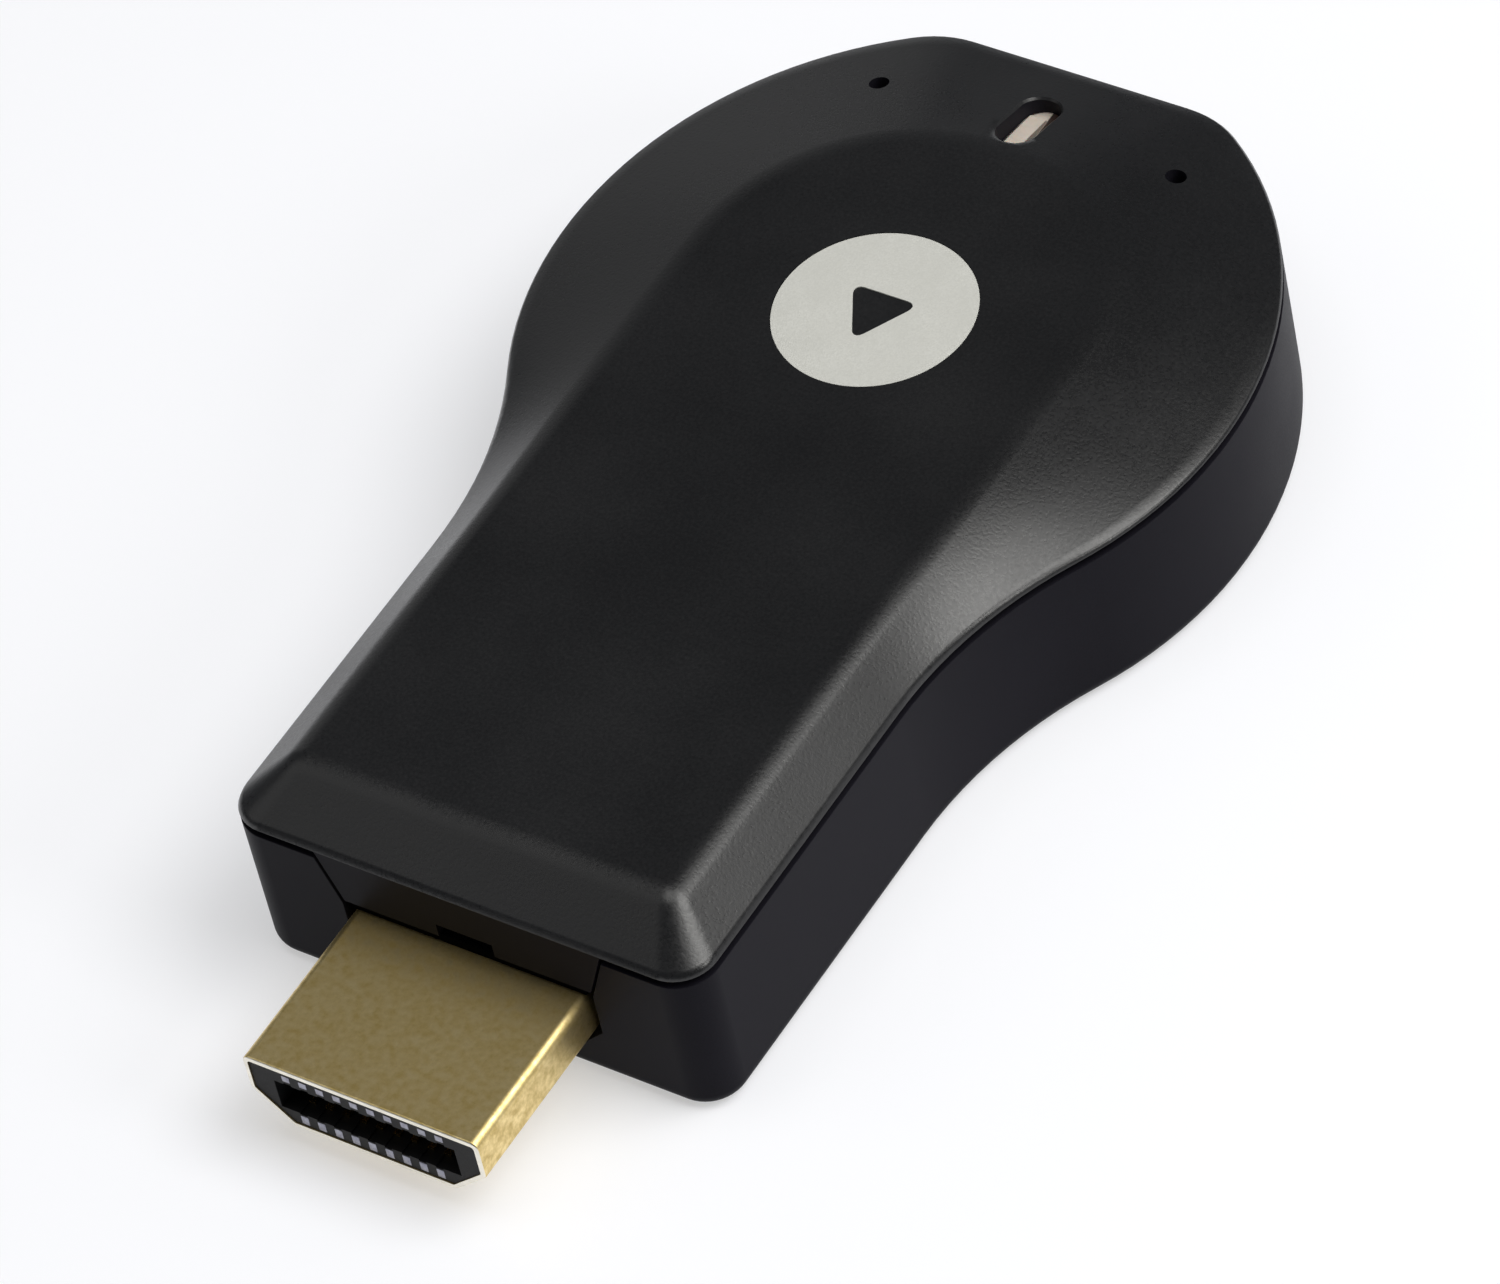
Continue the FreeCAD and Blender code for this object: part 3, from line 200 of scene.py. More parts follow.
# %% Rolled and plated metals
def plated_metal(name, dark, light, cloud, roughness, line_depth, **values):
    material, tree, shader, place = start_material(name, Metallic=1.0, **values)
    haze = add_node(tree, "ShaderNodeTexNoise",
                    {"Vector": place, "Scale": per_mm(cloud), "Detail": 4.0, "Roughness": 0.55})
    tone = add_node(tree, "ShaderNodeMapRange",
                    {"Value": haze.outputs["Fac"], "From Min": 0.3, "From Max": 0.7})
    base = add_node(tree, "ShaderNodeMix", {0: tone.outputs[0], 6: colour(dark), 7: colour(light)},
                    data_type="RGBA")
    rough = add_node(tree, "ShaderNodeMapRange",
                     {"Value": tone.outputs[0], "To Min": roughness + 0.04,
                      "To Max": roughness - 0.04})
    stretched = add_node(tree, "ShaderNodeMapping", {"Vector": place, "Scale": (1.0, 0.05, 1.0)})
    lines = add_node(tree, "ShaderNodeTexNoise",
                     {"Vector": stretched.outputs[0], "Scale": per_mm(0.12), "Detail": 2.0})
    bump = add_node(tree, "ShaderNodeBump",
                    {"Height": lines.outputs["Fac"], "Distance": line_depth * MM, "Strength": 1.0})
    finish_with(tree, shader, base.outputs[2], rough.outputs[0], bump.outputs["Normal"])
    return material


PLUG_GOLD = plated_metal("gold_flashed_steel", "#c6ad6c", "#f6dfa3", cloud=0.42, roughness=0.37,
                         line_depth=0.001)
CUT_STEEL = plated_metal("bare_cut_steel", "#e4e0d4", "#f5f0e3", cloud=0.6, roughness=0.35,
                         line_depth=0.001)
CONTACT_GOLD = plated_metal("gold_plated_bronze", "#c9a75c", "#dcbd74", cloud=0.5, roughness=0.25,
                            line_depth=0.0005)
CONTACT_TIN = plated_metal("tinned_contact_ends", "#8a8a97", "#a6a7b1", cloud=0.3, roughness=0.42,
                           line_depth=0.001)
TIN_SHEET = plated_metal("tin_plated_sheet", "#b4b5b4", "#c8c9c7", cloud=1.5, roughness=0.34,
                         line_depth=0.001)
ALUMINIUM = plated_metal("rolled_aluminium_plate", "#a9abae", "#bcbec0", cloud=3.0, roughness=0.38,
                         line_depth=0.003)
SPRING_STEEL = plated_metal("stainless_spring_strip", "#a3a2a0", "#b4b3b0", cloud=0.8,
                            roughness=0.28, line_depth=0.001)
print("metals:", PLUG_GOLD.name, CUT_STEEL.name, TIN_SHEET.name)

# %% [markdown]
# The small parts on the board are fired ceramic or pressed powder. Both break light up in
# tiny crystals, so a Voronoi pattern a few hundredths of a millimetre across speckles the
# tone. Nobody sees them with the case closed, but with the case open each has to read as
# what it is.


# %% Ceramics and pressed powder
def fired_powder(name, dark, light, crystal, roughness, **values):
    material, tree, shader, place = start_material(name, IOR=1.7, **values)
    grains = add_node(tree, "ShaderNodeTexVoronoi", {"Vector": place, "Scale": per_mm(crystal)})
    base = add_node(tree, "ShaderNodeMix",
                    {0: grains.outputs["Color"], 6: colour(dark), 7: colour(light)},
                    data_type="RGBA")
    rough = add_node(tree, "ShaderNodeMapRange",
                     {"Value": grains.outputs["Distance"], "To Min": roughness,
                      "To Max": roughness + 0.15})
    bump = add_node(tree, "ShaderNodeBump",
                    {"Height": grains.outputs["Distance"], "Distance": 0.004 * MM, "Strength": 0.5})
    finish_with(tree, shader, base.outputs[2], rough.outputs[0], bump.outputs["Normal"])
    return material


FERRITE = fired_powder("pressed_ferrite", "#2b2b2d", "#3d3d40", crystal=0.08, roughness=0.55)
CAPACITOR = fired_powder("fired_barium_ceramic", "#8a6a47", "#a17f58", crystal=0.06, roughness=0.35)
AERIAL_CERAMIC = fired_powder("fired_white_ceramic", "#c3c6ca", "#d6d8da", crystal=0.07,
                              roughness=0.40)
LED_RESIN = fired_powder("resin_over_phosphor", "#d8cf8e", "#e4dda6", crystal=0.05, roughness=0.25)
print("ceramics:", FERRITE.name, CAPACITOR.name, AERIAL_CERAMIC.name, LED_RESIN.name)

# %% [markdown]
# The board is glass-epoxy laminate under green solder mask. Copper runs below the mask and
# shows as lighter bands, so a brick pattern with long bricks stands for the tracks, about
# 0.3 mm wide. The mask itself is a smooth lacquer.

# %% Circuit board
SOLDER_MASK, tree, shader, place = start_material("solder_mask_on_laminate", IOR=1.55,
                                                  Coat_Weight=0.4, Coat_Roughness=0.15)
tracks = add_node(tree, "ShaderNodeTexBrick",
                  {"Vector": place, "Scale": per_mm(6.0), "Mortar Size": 0.03,
                   "Color1": colour("#0f4a2c"), "Color2": colour("#125434"),
                   "Mortar": colour("#1f6b45")})
weave = add_node(tree, "ShaderNodeTexNoise", {"Vector": place, "Scale": per_mm(0.4), "Detail": 3.0})
rough = add_node(tree, "ShaderNodeMapRange",
                 {"Value": weave.outputs["Fac"], "To Min": 0.25, "To Max": 0.45})
bump = add_node(tree, "ShaderNodeBump",
                {"Height": tracks.outputs["Fac"], "Distance": 0.02 * MM, "Strength": 0.6})
finish_with(tree, shader, tracks.outputs["Color"], rough.outputs[0], bump.outputs["Normal"])
print("board:", SOLDER_MASK.name)

# %% [markdown]
# The light pipe is one piece of milky polycarbonate: a plate under the slot, and a strip
# that stands up in its left half. The strip catches light and looks like cream. The other
# half of the plate carries painted shade: a brown that stands for the shade that the
# slot's right wall throws on it. One material does both: it reads how far across a point
# lies, and mixes the cream and the painted shade.
# One material does both: it reads how far across a point lies, and mixes the two tones.

# %% Light pipe
# Where the painted shade on the plate starts across the slot, and how soft its edge is.
SHADE_EDGE, SHADE_BLUR = -0.04, 0.03
MILKY_PC, tree, shader, place = start_material("milky_polycarbonate", IOR=1.58,
                                               Subsurface_Weight=0.15, Subsurface_Scale=0.4 * MM)
across = add_node(tree, "ShaderNodeSeparateXYZ", {"Vector": place})
clear = add_node(tree, "ShaderNodeMapRange",
                 {"Value": across.outputs["X"], "From Min": (SHADE_EDGE + SHADE_BLUR) * MM,
                  "From Max": (SHADE_EDGE - SHADE_BLUR) * MM})
cloud = add_node(tree, "ShaderNodeTexNoise", {"Vector": place, "Scale": per_mm(0.6), "Detail": 3.0})
cream = add_node(tree, "ShaderNodeMix",
                 {0: cloud.outputs["Fac"], 6: colour("#c6baad"), 7: colour("#e4d9cd")},
                 data_type="RGBA")
# Painted shade: brown tones for the half of the plate that lies in the wall's shade.
painted_shade = add_node(tree, "ShaderNodeMix",
                 {0: cloud.outputs["Fac"], 6: colour("#2f2320"), 7: colour("#42332d")},
                 data_type="RGBA")
base = add_node(tree, "ShaderNodeMix",
                {0: clear.outputs[0], 6: painted_shade.outputs[2], 7: cream.outputs[2]},
                data_type="RGBA")
rough = add_node(tree, "ShaderNodeMapRange",
                 {"Value": cloud.outputs["Fac"], "To Min": 0.28, "To Max": 0.44})
finish_with(tree, shader, base.outputs[2], rough.outputs[0])
print("light pipe:", MILKY_PC.name)

# %% [markdown]
# Now the nodes that keep their CAD shape get their finish. Most of them are inside the
# case. The table reads as a parts list: a material, then the nodes made of it.

# %% Dress the carried-over nodes
PARTS_LIST = {
    MILKY_PC: ["light_pipe"],
    SOLDER_MASK: ["main_board"],
    CONTACT_GOLD: ["plug_contacts_upper", "plug_contacts_lower", "usb_socket_contacts"],
    CORE_NYLON: ["usb_socket_tongue", "switch_body"],
    CHIP_EPOXY: ["processor", "memory_chip", "radio_chip", "flash_chip", "voltage_regulators"],
    TIN_SHEET: ["flash_chip_leads", "shield_can", "clock_crystal", "radio_crystal",
                "usb_socket_shell", "switch_cover"],
    AERIAL_CERAMIC: ["chip_aerial"],
    SILICONE: ["thermal_pad"],
    ALUMINIUM: ["heat_spreader"],
    FERRITE: ["power_inductors", "chip_resistors"],
    TANTALUM_EPOXY: ["tantalum_capacitors"],
    CAPACITOR: ["ceramic_capacitors"],
    LED_RESIN: ["indicator_led"],
    SPRING_STEEL: ["switch_dome"],
    ACETAL: ["switch_plunger"],
}
for material, names in PARTS_LIST.items():
    for name in names:
        slots = NODES[name].data.materials
        slots.clear()
        slots.append(material)
print("dressed:", sum(len(names) for names in PARTS_LIST.values()), "nodes")

# %% [markdown]
# CAD edges are perfectly sharp, but a mould is never: each outer corner of the case has
# a small radius that catches a line of light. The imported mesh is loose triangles, so a
# copy is merged first and its flat faces joined. Then the Bevel operator rounds only the
# edges that show, chosen by where they are and by how sharply they turn. An edge that still
# turns by more than SHADE_ANGLE is marked sharp, and all the rest is shaded smooth. The
# marks are set while the piece is a bmesh, so that each lands on its own edge.

# %% Helpers for softened copies of a node
MERGE_DISTANCE = 0.0002 * MM
FLAT_ANGLE = math.radians(0.3)
SHARP_ANGLE = math.radians(12)
SHADE_ANGLE = math.radians(42)


def merged_copy(name):
    """A bmesh of a node with its triangles joined and its flat faces made whole."""
    bm = bmesh.new()
    bm.from_mesh(NODES[name].data)
    bmesh.ops.remove_doubles(bm, verts=bm.verts, dist=MERGE_DISTANCE)
    bmesh.ops.dissolve_limit(bm, angle_limit=FLAT_ANGLE, verts=bm.verts, edges=bm.edges)
    return bm


def soften(bm, wanted, width, segments=3, clamp=True):
    """Round the sharp edges that pass the test, given the edge's middle in mm and the edge."""
    edges = [e for e in bm.edges
             if len(e.link_faces) == 2 and e.calc_face_angle() > SHARP_ANGLE
             and wanted((e.verts[0].co + e.verts[1].co) / (2 * MM), e)]
    bmesh.ops.bevel(bm, geom=edges, offset=width * MM, offset_type="OFFSET", segments=segments,
                    profile=0.5, affect="EDGES", clamp_overlap=clamp, material=-1)
    return len(edges)


def make_piece(name, bm, materials, body="case"):
    """Turn a bmesh into a piece that rides on a body, smooth except at sharp edges."""
    mesh = bpy.data.meshes.new(name)
    for face in bm.faces:
        face.smooth = True
    for edge in bm.edges:
        edge.smooth = edge.calc_face_angle(math.pi) < SHADE_ANGLE
    bm.to_mesh(mesh)
    bm.free()
    for material in materials:
        mesh.materials.append(material)
    piece = bpy.data.objects.new(name, mesh)
    bpy.context.scene.collection.objects.link(piece)
    weighted = piece.modifiers.new("weighted_normals", "WEIGHTED_NORMAL")
    weighted.keep_sharp = True
    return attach(piece, body)


# %% [markdown]
# The cover carries the raised panel. On the real one the slopes are one smooth skin, and
# the panel's edge is soft, about a millimetre wide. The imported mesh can't show that: its
# triangles are irregular, and a lamp's reflection would tremble on them. So the copy keeps
# its inside and its rim, and its slopes are made again. First they come off, together with
# the walls of the slot and the pinholes, and the holes left in the roof are closed.

# %% Take the old slopes off
FRONT, TUB_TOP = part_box("bottom_shell")[0].y / MM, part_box("bottom_shell")[1].z / MM
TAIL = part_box("bottom_shell")[1].y / MM
PANEL_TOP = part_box("top_shell")[1].z / MM
SEAM, SIDE_BAND = 0.35, 0.2
UNDERSIDE = TUB_TOP + SEAM
RIM = UNDERSIDE + SIDE_BAND
SHELF = 0.02
SLOT_CENTRE, SLOT_LENGTH, SLOT_WIDTH = Vector((0, 30.475)), 4.5, 2.2
PINHOLES, PINHOLE_RADIUS = [Vector((side * 8.95, 30.195)) for side in (-1, 1)], 0.55


def at_opening(vert):
    """Is a vertex on the wall of the slot or of a pinhole?"""
    spot = vert.co.xy / MM
    off = spot - SLOT_CENTRE
    off.y = max(abs(off.y) - (SLOT_LENGTH - SLOT_WIDTH) / 2, 0)
    return (off.length < SLOT_WIDTH / 2 + SHELF
            or any((spot - hole).length < PINHOLE_RADIUS + SHELF for hole in PINHOLES))


cover_bm = merged_copy("top_shell")
old = [f for f in cover_bm.faces
       if (f.normal.z > 0.1 and min(v.co.z for v in f.verts) > (RIM - SHELF) * MM)
       or (abs(f.normal.z) < 0.1 and all(at_opening(v) for v in f.verts))]
bmesh.ops.delete(cover_bm, geom=old, context="FACES")
open_edges = [e for e in cover_bm.edges if e.is_boundary]
rim_edges = [e for e in open_edges if not all(at_opening(v) for v in e.verts)]
bmesh.ops.holes_fill(cover_bm, edges=[e for e in open_edges if e not in rim_edges], sides=0)
print("cover: took off", len(old), "faces, rim edges", len(rim_edges))

# %% [markdown]
# Every point of the rim has a partner on the panel's edge, and a straight line joins the
# two: that is how the mould's cutter ran. The rim's outline is a chain of lines and arcs,
# and so is the panel's, part for part. This function walks the chain of the right half
# and gives a rim point's partner; the left half is its mirror image. The long straight
# edge at the tail faces an arc, so it is divided first.

# %% Partner of a rim point
NECK_HALF, FRONT_CORNER = 13.85, 2.2
PANEL_HALF, PANEL_FRONT, PANEL_CORNER = 11.15, FRONT + 3.22, 0.8
HEAD = Vector((0, 16.325))
SIDE_CENTRE, SIDE_RADIUS = Vector((-2.35, 16.325)), 22.0
FLARE_CENTRE, TAIL_CENTRE = Vector((38.85, -6.2927)), Vector((6.4992, 29.775))
JOINT = SIDE_CENTRE + (FLARE_CENTRE - SIDE_CENTRE).normalized() * SIDE_RADIUS
TURN = SIDE_CENTRE + (TAIL_CENTRE - SIDE_CENTRE).normalized() * SIDE_RADIUS
TAIL_END = Vector((TAIL_CENTRE.x, TAIL))


def angle_of(spot, centre):
    """Direction from a centre to a spot, counted from +X towards +Y."""
    return math.atan2(spot.y - centre.y, spot.x - centre.x)


def share(value, start, end):
    return min(max((value - start) / (end - start), 0.0), 1.0)


def on_panel(angle):
    return HEAD + Vector((math.cos(angle), math.sin(angle))) * PANEL_HALF


def partner(spot):
    """The panel's point for a rim point of the right half, in millimetres."""
    corner = Vector((NECK_HALF - FRONT_CORNER, FRONT + FRONT_CORNER))
    panel_corner = Vector((PANEL_HALF - PANEL_CORNER, PANEL_FRONT + PANEL_CORNER))
    if spot.x <= corner.x and spot.y < corner.y:
        return Vector((spot.x * panel_corner.x / corner.x, PANEL_FRONT))
    if spot.y < corner.y:
        return panel_corner + (spot - corner).normalized() * PANEL_CORNER
    if spot.y <= FLARE_CENTRE.y:
        along = share(spot.y, corner.y, FLARE_CENTRE.y)
        return Vector((PANEL_HALF, panel_corner.y + along * (FLARE_CENTRE.y - panel_corner.y)))
    if spot.y <= JOINT.y:
        turned = math.pi - angle_of(spot, FLARE_CENTRE)
        along = share(turned, 0, math.pi - angle_of(JOINT, FLARE_CENTRE))
        return Vector((PANEL_HALF, FLARE_CENTRE.y + along * (JOINT.y - FLARE_CENTRE.y)))
    if spot.y <= HEAD.y:
        along = share(angle_of(spot, SIDE_CENTRE), angle_of(JOINT, SIDE_CENTRE), 0)
        return Vector((PANEL_HALF, JOINT.y + along * (HEAD.y - JOINT.y)))
    first, second = angle_of(TURN, HEAD), angle_of(TAIL_END, HEAD)
    if spot.y <= TURN.y:
        return on_panel(share(angle_of(spot, SIDE_CENTRE), 0, angle_of(TURN, SIDE_CENTRE)) * first)
    if spot.x >= TAIL_END.x:
        along = share(angle_of(spot, TAIL_CENTRE), angle_of(TURN, TAIL_CENTRE), math.pi / 2)
        return on_panel(first + along * (second - first))
    return on_panel(second + share(spot.x, TAIL_END.x, 0) * (math.pi / 2 - second))


TAIL_CUTS = 15
tail_edges = [e for e in rim_edges if all(abs(v.co.y - TAIL * MM) < SHELF * MM for v in e.verts)
              and e.calc_length() > MM]
bmesh.ops.subdivide_edges(cover_bm, edges=tail_edges, cuts=TAIL_CUTS)
rim_edges = [e for e in cover_bm.edges if e.is_boundary]
print("rim edges after dividing the tail:", len(rim_edges))

# %% [markdown]
# Now the skin grows out of the rim. Extrude makes a second loop, which moves to the
# partners, and a face closes it. Bevel rounds the panel's edge over 0.7 mm to each side.
# The slopes are then divided along their straight lines, because a twisted face shades
# smoothly only if it is small.

# %% Grow the new skin
PANEL_ROUNDING, SLOPE_CUTS = 0.7, 8

grown = bmesh.ops.extrude_edge_only(cover_bm, edges=rim_edges)["geom"]
panel_verts = [g for g in grown if isinstance(g, bmesh.types.BMVert)]
panel_edges = [g for g in grown if isinstance(g, bmesh.types.BMEdge)
               and all(v in panel_verts for v in g.verts)]
for vert in panel_verts:
    side = -1 if vert.co.x < 0 else 1
    spot = partner(Vector((abs(vert.co.x), vert.co.y)) / MM)
    vert.co = Vector((side * spot.x, spot.y, PANEL_TOP)) * MM
bmesh.ops.edgeloop_fill(cover_bm, edges=panel_edges)
slopes = list({f for v in panel_verts for f in v.link_faces if len(f.verts) == 4})
bmesh.ops.recalc_face_normals(cover_bm, faces=cover_bm.faces)
bmesh.ops.bevel(cover_bm, geom=panel_edges, offset=PANEL_ROUNDING * MM, offset_type="OFFSET",
                segments=6, profile=0.5, affect="EDGES", clamp_overlap=False, material=-1)
across = [e for e in cover_bm.edges if abs(e.verts[0].co.z - e.verts[1].co.z) > 0.5 * MM
          and min(v.co.z for v in e.verts) > (RIM - SHELF) * MM
          and all(f.normal.z > 0.1 for f in e.link_faces)]
bmesh.ops.subdivide_edges(cover_bm, edges=across, cuts=SLOPE_CUTS, use_grid_fill=True)
print("cover: slopes", len(slopes), "rulings divided", len(across), "faces", len(cover_bm.faces))

# %% [markdown]
# The rim is the sharp fold between the slopes and the cover's narrow side. On the real one
# it is worn round by polishing the mould, and that shows as one fine line of light along
# the flare. A single chamfer is enough: its neighbours are smooth-shaded, so the shading
# turns from the slope to the side across it, as on a rounded edge.

# %% Break the rim's edge
RIM_CHAMFER = 0.18

rounded = soften(cover_bm, lambda middle, edge: abs(middle.z - RIM) < SHELF
                 and any(abs(f.normal.z) < SHELF for f in edge.link_faces),
                 RIM_CHAMFER, segments=1, clamp=False)
print("cover: rounded", rounded, "rim edges")

# %% [markdown]
# The panel carries a round badge. Here it is a thin inlaid disc, flush with the panel, so
# the panel first gets a shallow round pocket. The flat top is one face: it is taken out
# and filled again around a circle, and the circle is extruded down and closed.

# %% Pocket for the badge
BADGE_CENTRE = Vector((0.1, 15.025, PANEL_TOP))
BADGE_RADIUS, BADGE_SIDES = 5.4, 96
POCKET_DEPTH = 0.10

top_face = max((f for f in cover_bm.faces if f.normal.z > 0.999
                and f.calc_center_median().z > (PANEL_TOP - 0.001) * MM),
               key=lambda f: f.calc_area())
outline = list(top_face.edges)
bmesh.ops.delete(cover_bm, geom=[top_face], context="FACES_ONLY")
ring = bmesh.ops.create_circle(cover_bm, cap_ends=False, segments=BADGE_SIDES,
                               radius=BADGE_RADIUS * MM,
                               matrix=Matrix.Translation(BADGE_CENTRE * MM))["verts"]
ring_edges = list({e for v in ring for e in v.link_edges})
flat = bmesh.ops.triangle_fill(cover_bm, use_beauty=True, use_dissolve=False, normal=(0, 0, 1),
                               edges=outline + ring_edges)
panel_faces = [g for g in flat["geom"] if isinstance(g, bmesh.types.BMFace)]
sunk = bmesh.ops.extrude_edge_only(cover_bm, edges=ring_edges)["geom"]
sunk_verts = [g for g in sunk if isinstance(g, bmesh.types.BMVert)]
sunk_edges = [g for g in sunk if isinstance(g, bmesh.types.BMEdge)
              and all(v in sunk_verts for v in g.verts)]
bmesh.ops.translate(cover_bm, verts=sunk_verts, vec=(0, 0, -POCKET_DEPTH * MM))
bmesh.ops.edgeloop_fill(cover_bm, edges=sunk_edges)
bmesh.ops.recalc_face_normals(cover_bm, faces=cover_bm.faces)
print("pocket: panel faces", len(panel_faces))

# %% [markdown]
# Below the rim a tongue of the cover closes the tub's front opening above the plug. It
# comes forward until it is nearly flush with the tub, and the front of its lower edge goes
# up a little, so that a dark gap shows all along the plug. It lies in the rim's shade and
# is as matt as the tub.

# %% Tongue above the plug
TONGUE_SEAM, TONGUE_GAP = 0.06, 0.22
TONGUE_HALF, TONGUE_FOOT = 8.6, 6.4
TONGUE_FACE, TONGUE_DEPTH = 0.4, 2

for vert in cover_bm.verts:
    across, along, height = vert.co / MM
    if along < FRONT + TONGUE_FACE and height < UNDERSIDE + SHELF and abs(across) < TONGUE_HALF:
        vert.co.y = (FRONT + TONGUE_SEAM) * MM
        if height < TONGUE_FOOT:
            vert.co.z += TONGUE_GAP * MM
tongue = [f for f in cover_bm.faces if f.calc_center_median().z < UNDERSIDE * MM
          and f.calc_center_median().y < (FRONT + TONGUE_DEPTH) * MM]
for face in tongue:
    face.material_index = 1
print("tongue: faces", len(tongue))

# %% [markdown]
# The slot and the two pinholes are cut into the new skin as they are in the mould: by a
# core pin each. A pin is a closed shape standing in the roof, and an exact Boolean takes
# it out of the cover. The slot's pin widens just at the skin, so that the slot gets a soft
# mouth that follows the slope; the skin falls towards the tail by FALL for each millimetre.

# %% Cut the slot and the pinholes
FALL = (PANEL_TOP - RIM) / (TAIL - HEAD.y - PANEL_HALF)
MOUTH_SOFTNESS = 0.14
PIN_FOOT, PIN_TOP = 9.6, 13.0
PIN_SIDES = 32


def skin_height(y):
    """Height of the skin behind the panel, in millimetres."""
    return PANEL_TOP - FALL * (y - HEAD.y - PANEL_HALF)


def lift_face(bm, face):
    """Extrude a face in place, and return the new one."""
    made = bmesh.ops.extrude_face_region(bm, geom=[face], use_keep_orig=True)["geom"]
    return next(g for g in made if isinstance(g, bmesh.types.BMFace))


def start_pin(bm, centre, radius):
    """A flat round face at the foot of a pin; no vertex lies on its cross line."""
    place = Matrix.Translation(Vector((centre.x, centre.y, PIN_FOOT)) * MM)
    half_step = Matrix.Rotation(math.pi / PIN_SIDES, 4, "Z")
    made = bmesh.ops.create_circle(bm, cap_ends=True, segments=PIN_SIDES, radius=radius * MM,
                                   matrix=place @ half_step)["verts"]
    return made[0].link_faces[0]


def as_tool(name, bm):
    """A closed shape as an object, for the Boolean; it is deleted after use."""
    bmesh.ops.recalc_face_normals(bm, faces=bm.faces)
    mesh = bpy.data.meshes.new(name)
    bm.to_mesh(mesh)
    bm.free()
    tool = bpy.data.objects.new(name, mesh)
    bpy.context.scene.collection.objects.link(tool)
    return tool


def carve(bm, pins):
    """Take all the pins out of a shape in one cut, and close a face that the cut drops."""
    block, tool = as_tool("block", bm), as_tool("pins", pins)
    cut = block.modifiers.new("cut", "BOOLEAN")
    cut.operation, cut.solver, cut.object = "DIFFERENCE", "EXACT", tool
    bpy.context.view_layer.update()
    depsgraph = bpy.context.evaluated_depsgraph_get()
    left = bpy.data.meshes.new_from_object(block.evaluated_get(depsgraph))
    result = bmesh.new()
    result.from_mesh(left)
    for mesh in (left, block.data, tool.data):
        bpy.data.meshes.remove(mesh)
    bmesh.ops.holes_fill(result, edges=[e for e in result.edges if e.is_boundary], sides=0)
    bmesh.ops.recalc_face_normals(result, faces=result.faces)
    return result


pins_bm = bmesh.new()
foot = start_pin(pins_bm, SLOT_CENTRE, SLOT_WIDTH / 2)
reach = (SLOT_LENGTH - SLOT_WIDTH) / 2
for vert in foot.verts:
    vert.co.y += math.copysign(reach * MM, vert.co.y - SLOT_CENTRE.y * MM)
neck = lift_face(pins_bm, foot)
for vert in neck.verts:
    vert.co.z = (skin_height(vert.co.y / MM) - MOUTH_SOFTNESS) * MM
brim = lift_face(pins_bm, neck)
for vert in brim.verts:
    spine = Vector((0, SLOT_CENTRE.y + math.copysign(reach, vert.co.y - SLOT_CENTRE.y * MM))) * MM
    vert.co.xy += (vert.co.xy - spine).normalized() * 2 * MOUTH_SOFTNESS * MM
    vert.co.z += 2 * MOUTH_SOFTNESS * MM
pins_bm.faces.remove(neck)
for hole in PINHOLES:
    for vert in lift_face(pins_bm, start_pin(pins_bm, hole, PINHOLE_RADIUS)).verts:
        vert.co.z = PIN_TOP * MM
cover_bm = carve(cover_bm, pins_bm)
walls = [f for f in cover_bm.faces
         if abs(f.normal.z) < 0.1 and all(at_opening(v) for v in f.verts)]
for face in walls:
    face.material_index = 1
cover = make_piece("cover", cover_bm, [COVER_ABS, TUB_ABS])
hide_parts("top_shell")
print("cover: faces", len(cover.data.polygons), "in the openings", len(walls))

# %% [markdown]
# The badge itself is screen-printed in silver ink on film, with the common sign for play
# left open in its middle. Silver ink is fine aluminium flake in lacquer: a light grey,
# matt from most sides, with a faint sparkle. It points towards the plug, the way the
# stick is read.

# %% Badge
SILVER_INK, tree, shader, place = start_material("screen_printed_silver_ink", Metallic=0.25,
                                                 IOR=1.5)
flake = add_node(tree, "ShaderNodeTexVoronoi", {"Vector": place, "Scale": per_mm(0.09)})
patch = add_node(tree, "ShaderNodeTexNoise", {"Vector": place, "Scale": per_mm(2.5), "Detail": 3.0})
tone = add_node(tree, "ShaderNodeMath", {0: flake.outputs["Color"], 1: patch.outputs["Fac"]},
                operation="MULTIPLY")
base = add_node(tree, "ShaderNodeMix",
                {0: tone.outputs[0], 6: colour("#d0d0c9"), 7: colour("#e4e4de")},
                data_type="RGBA")
rough = add_node(tree, "ShaderNodeMapRange",
                 {"Value": flake.outputs["Distance"], "To Min": 0.45, "To Max": 0.65})
finish_with(tree, shader, base.outputs[2], rough.outputs[0])

DISC_GAP = 0.03
DISC_THICK = 0.07
DISC_ROUNDING = 0.02
SIGN_RADIUS = 2.3
SIGN_CORNER = 0.7
disc_floor = BADGE_CENTRE + Vector((0, 0, DISC_GAP / 2 - POCKET_DEPTH))
badge_bm = bmesh.new()
bmesh.ops.create_circle(badge_bm, cap_ends=False, segments=BADGE_SIDES,
                        radius=(BADGE_RADIUS - DISC_GAP) * MM,
                        matrix=Matrix.Translation(disc_floor * MM))
sign = bmesh.ops.create_circle(badge_bm, cap_ends=False, segments=3, radius=SIGN_RADIUS * MM,
                               matrix=Matrix.Translation(disc_floor * MM)
                               @ Matrix.Rotation(math.pi, 4, "Z"))["verts"]
bmesh.ops.bevel(badge_bm, geom=sign, offset=SIGN_CORNER * MM, offset_type="OFFSET", segments=5,
                profile=0.5, affect="VERTICES", material=-1)
sheet = bmesh.ops.triangle_fill(badge_bm, use_beauty=True, use_dissolve=False, normal=(0, 0, 1),
                                edges=badge_bm.edges[:])
sheet_faces = [g for g in sheet["geom"] if isinstance(g, bmesh.types.BMFace)]
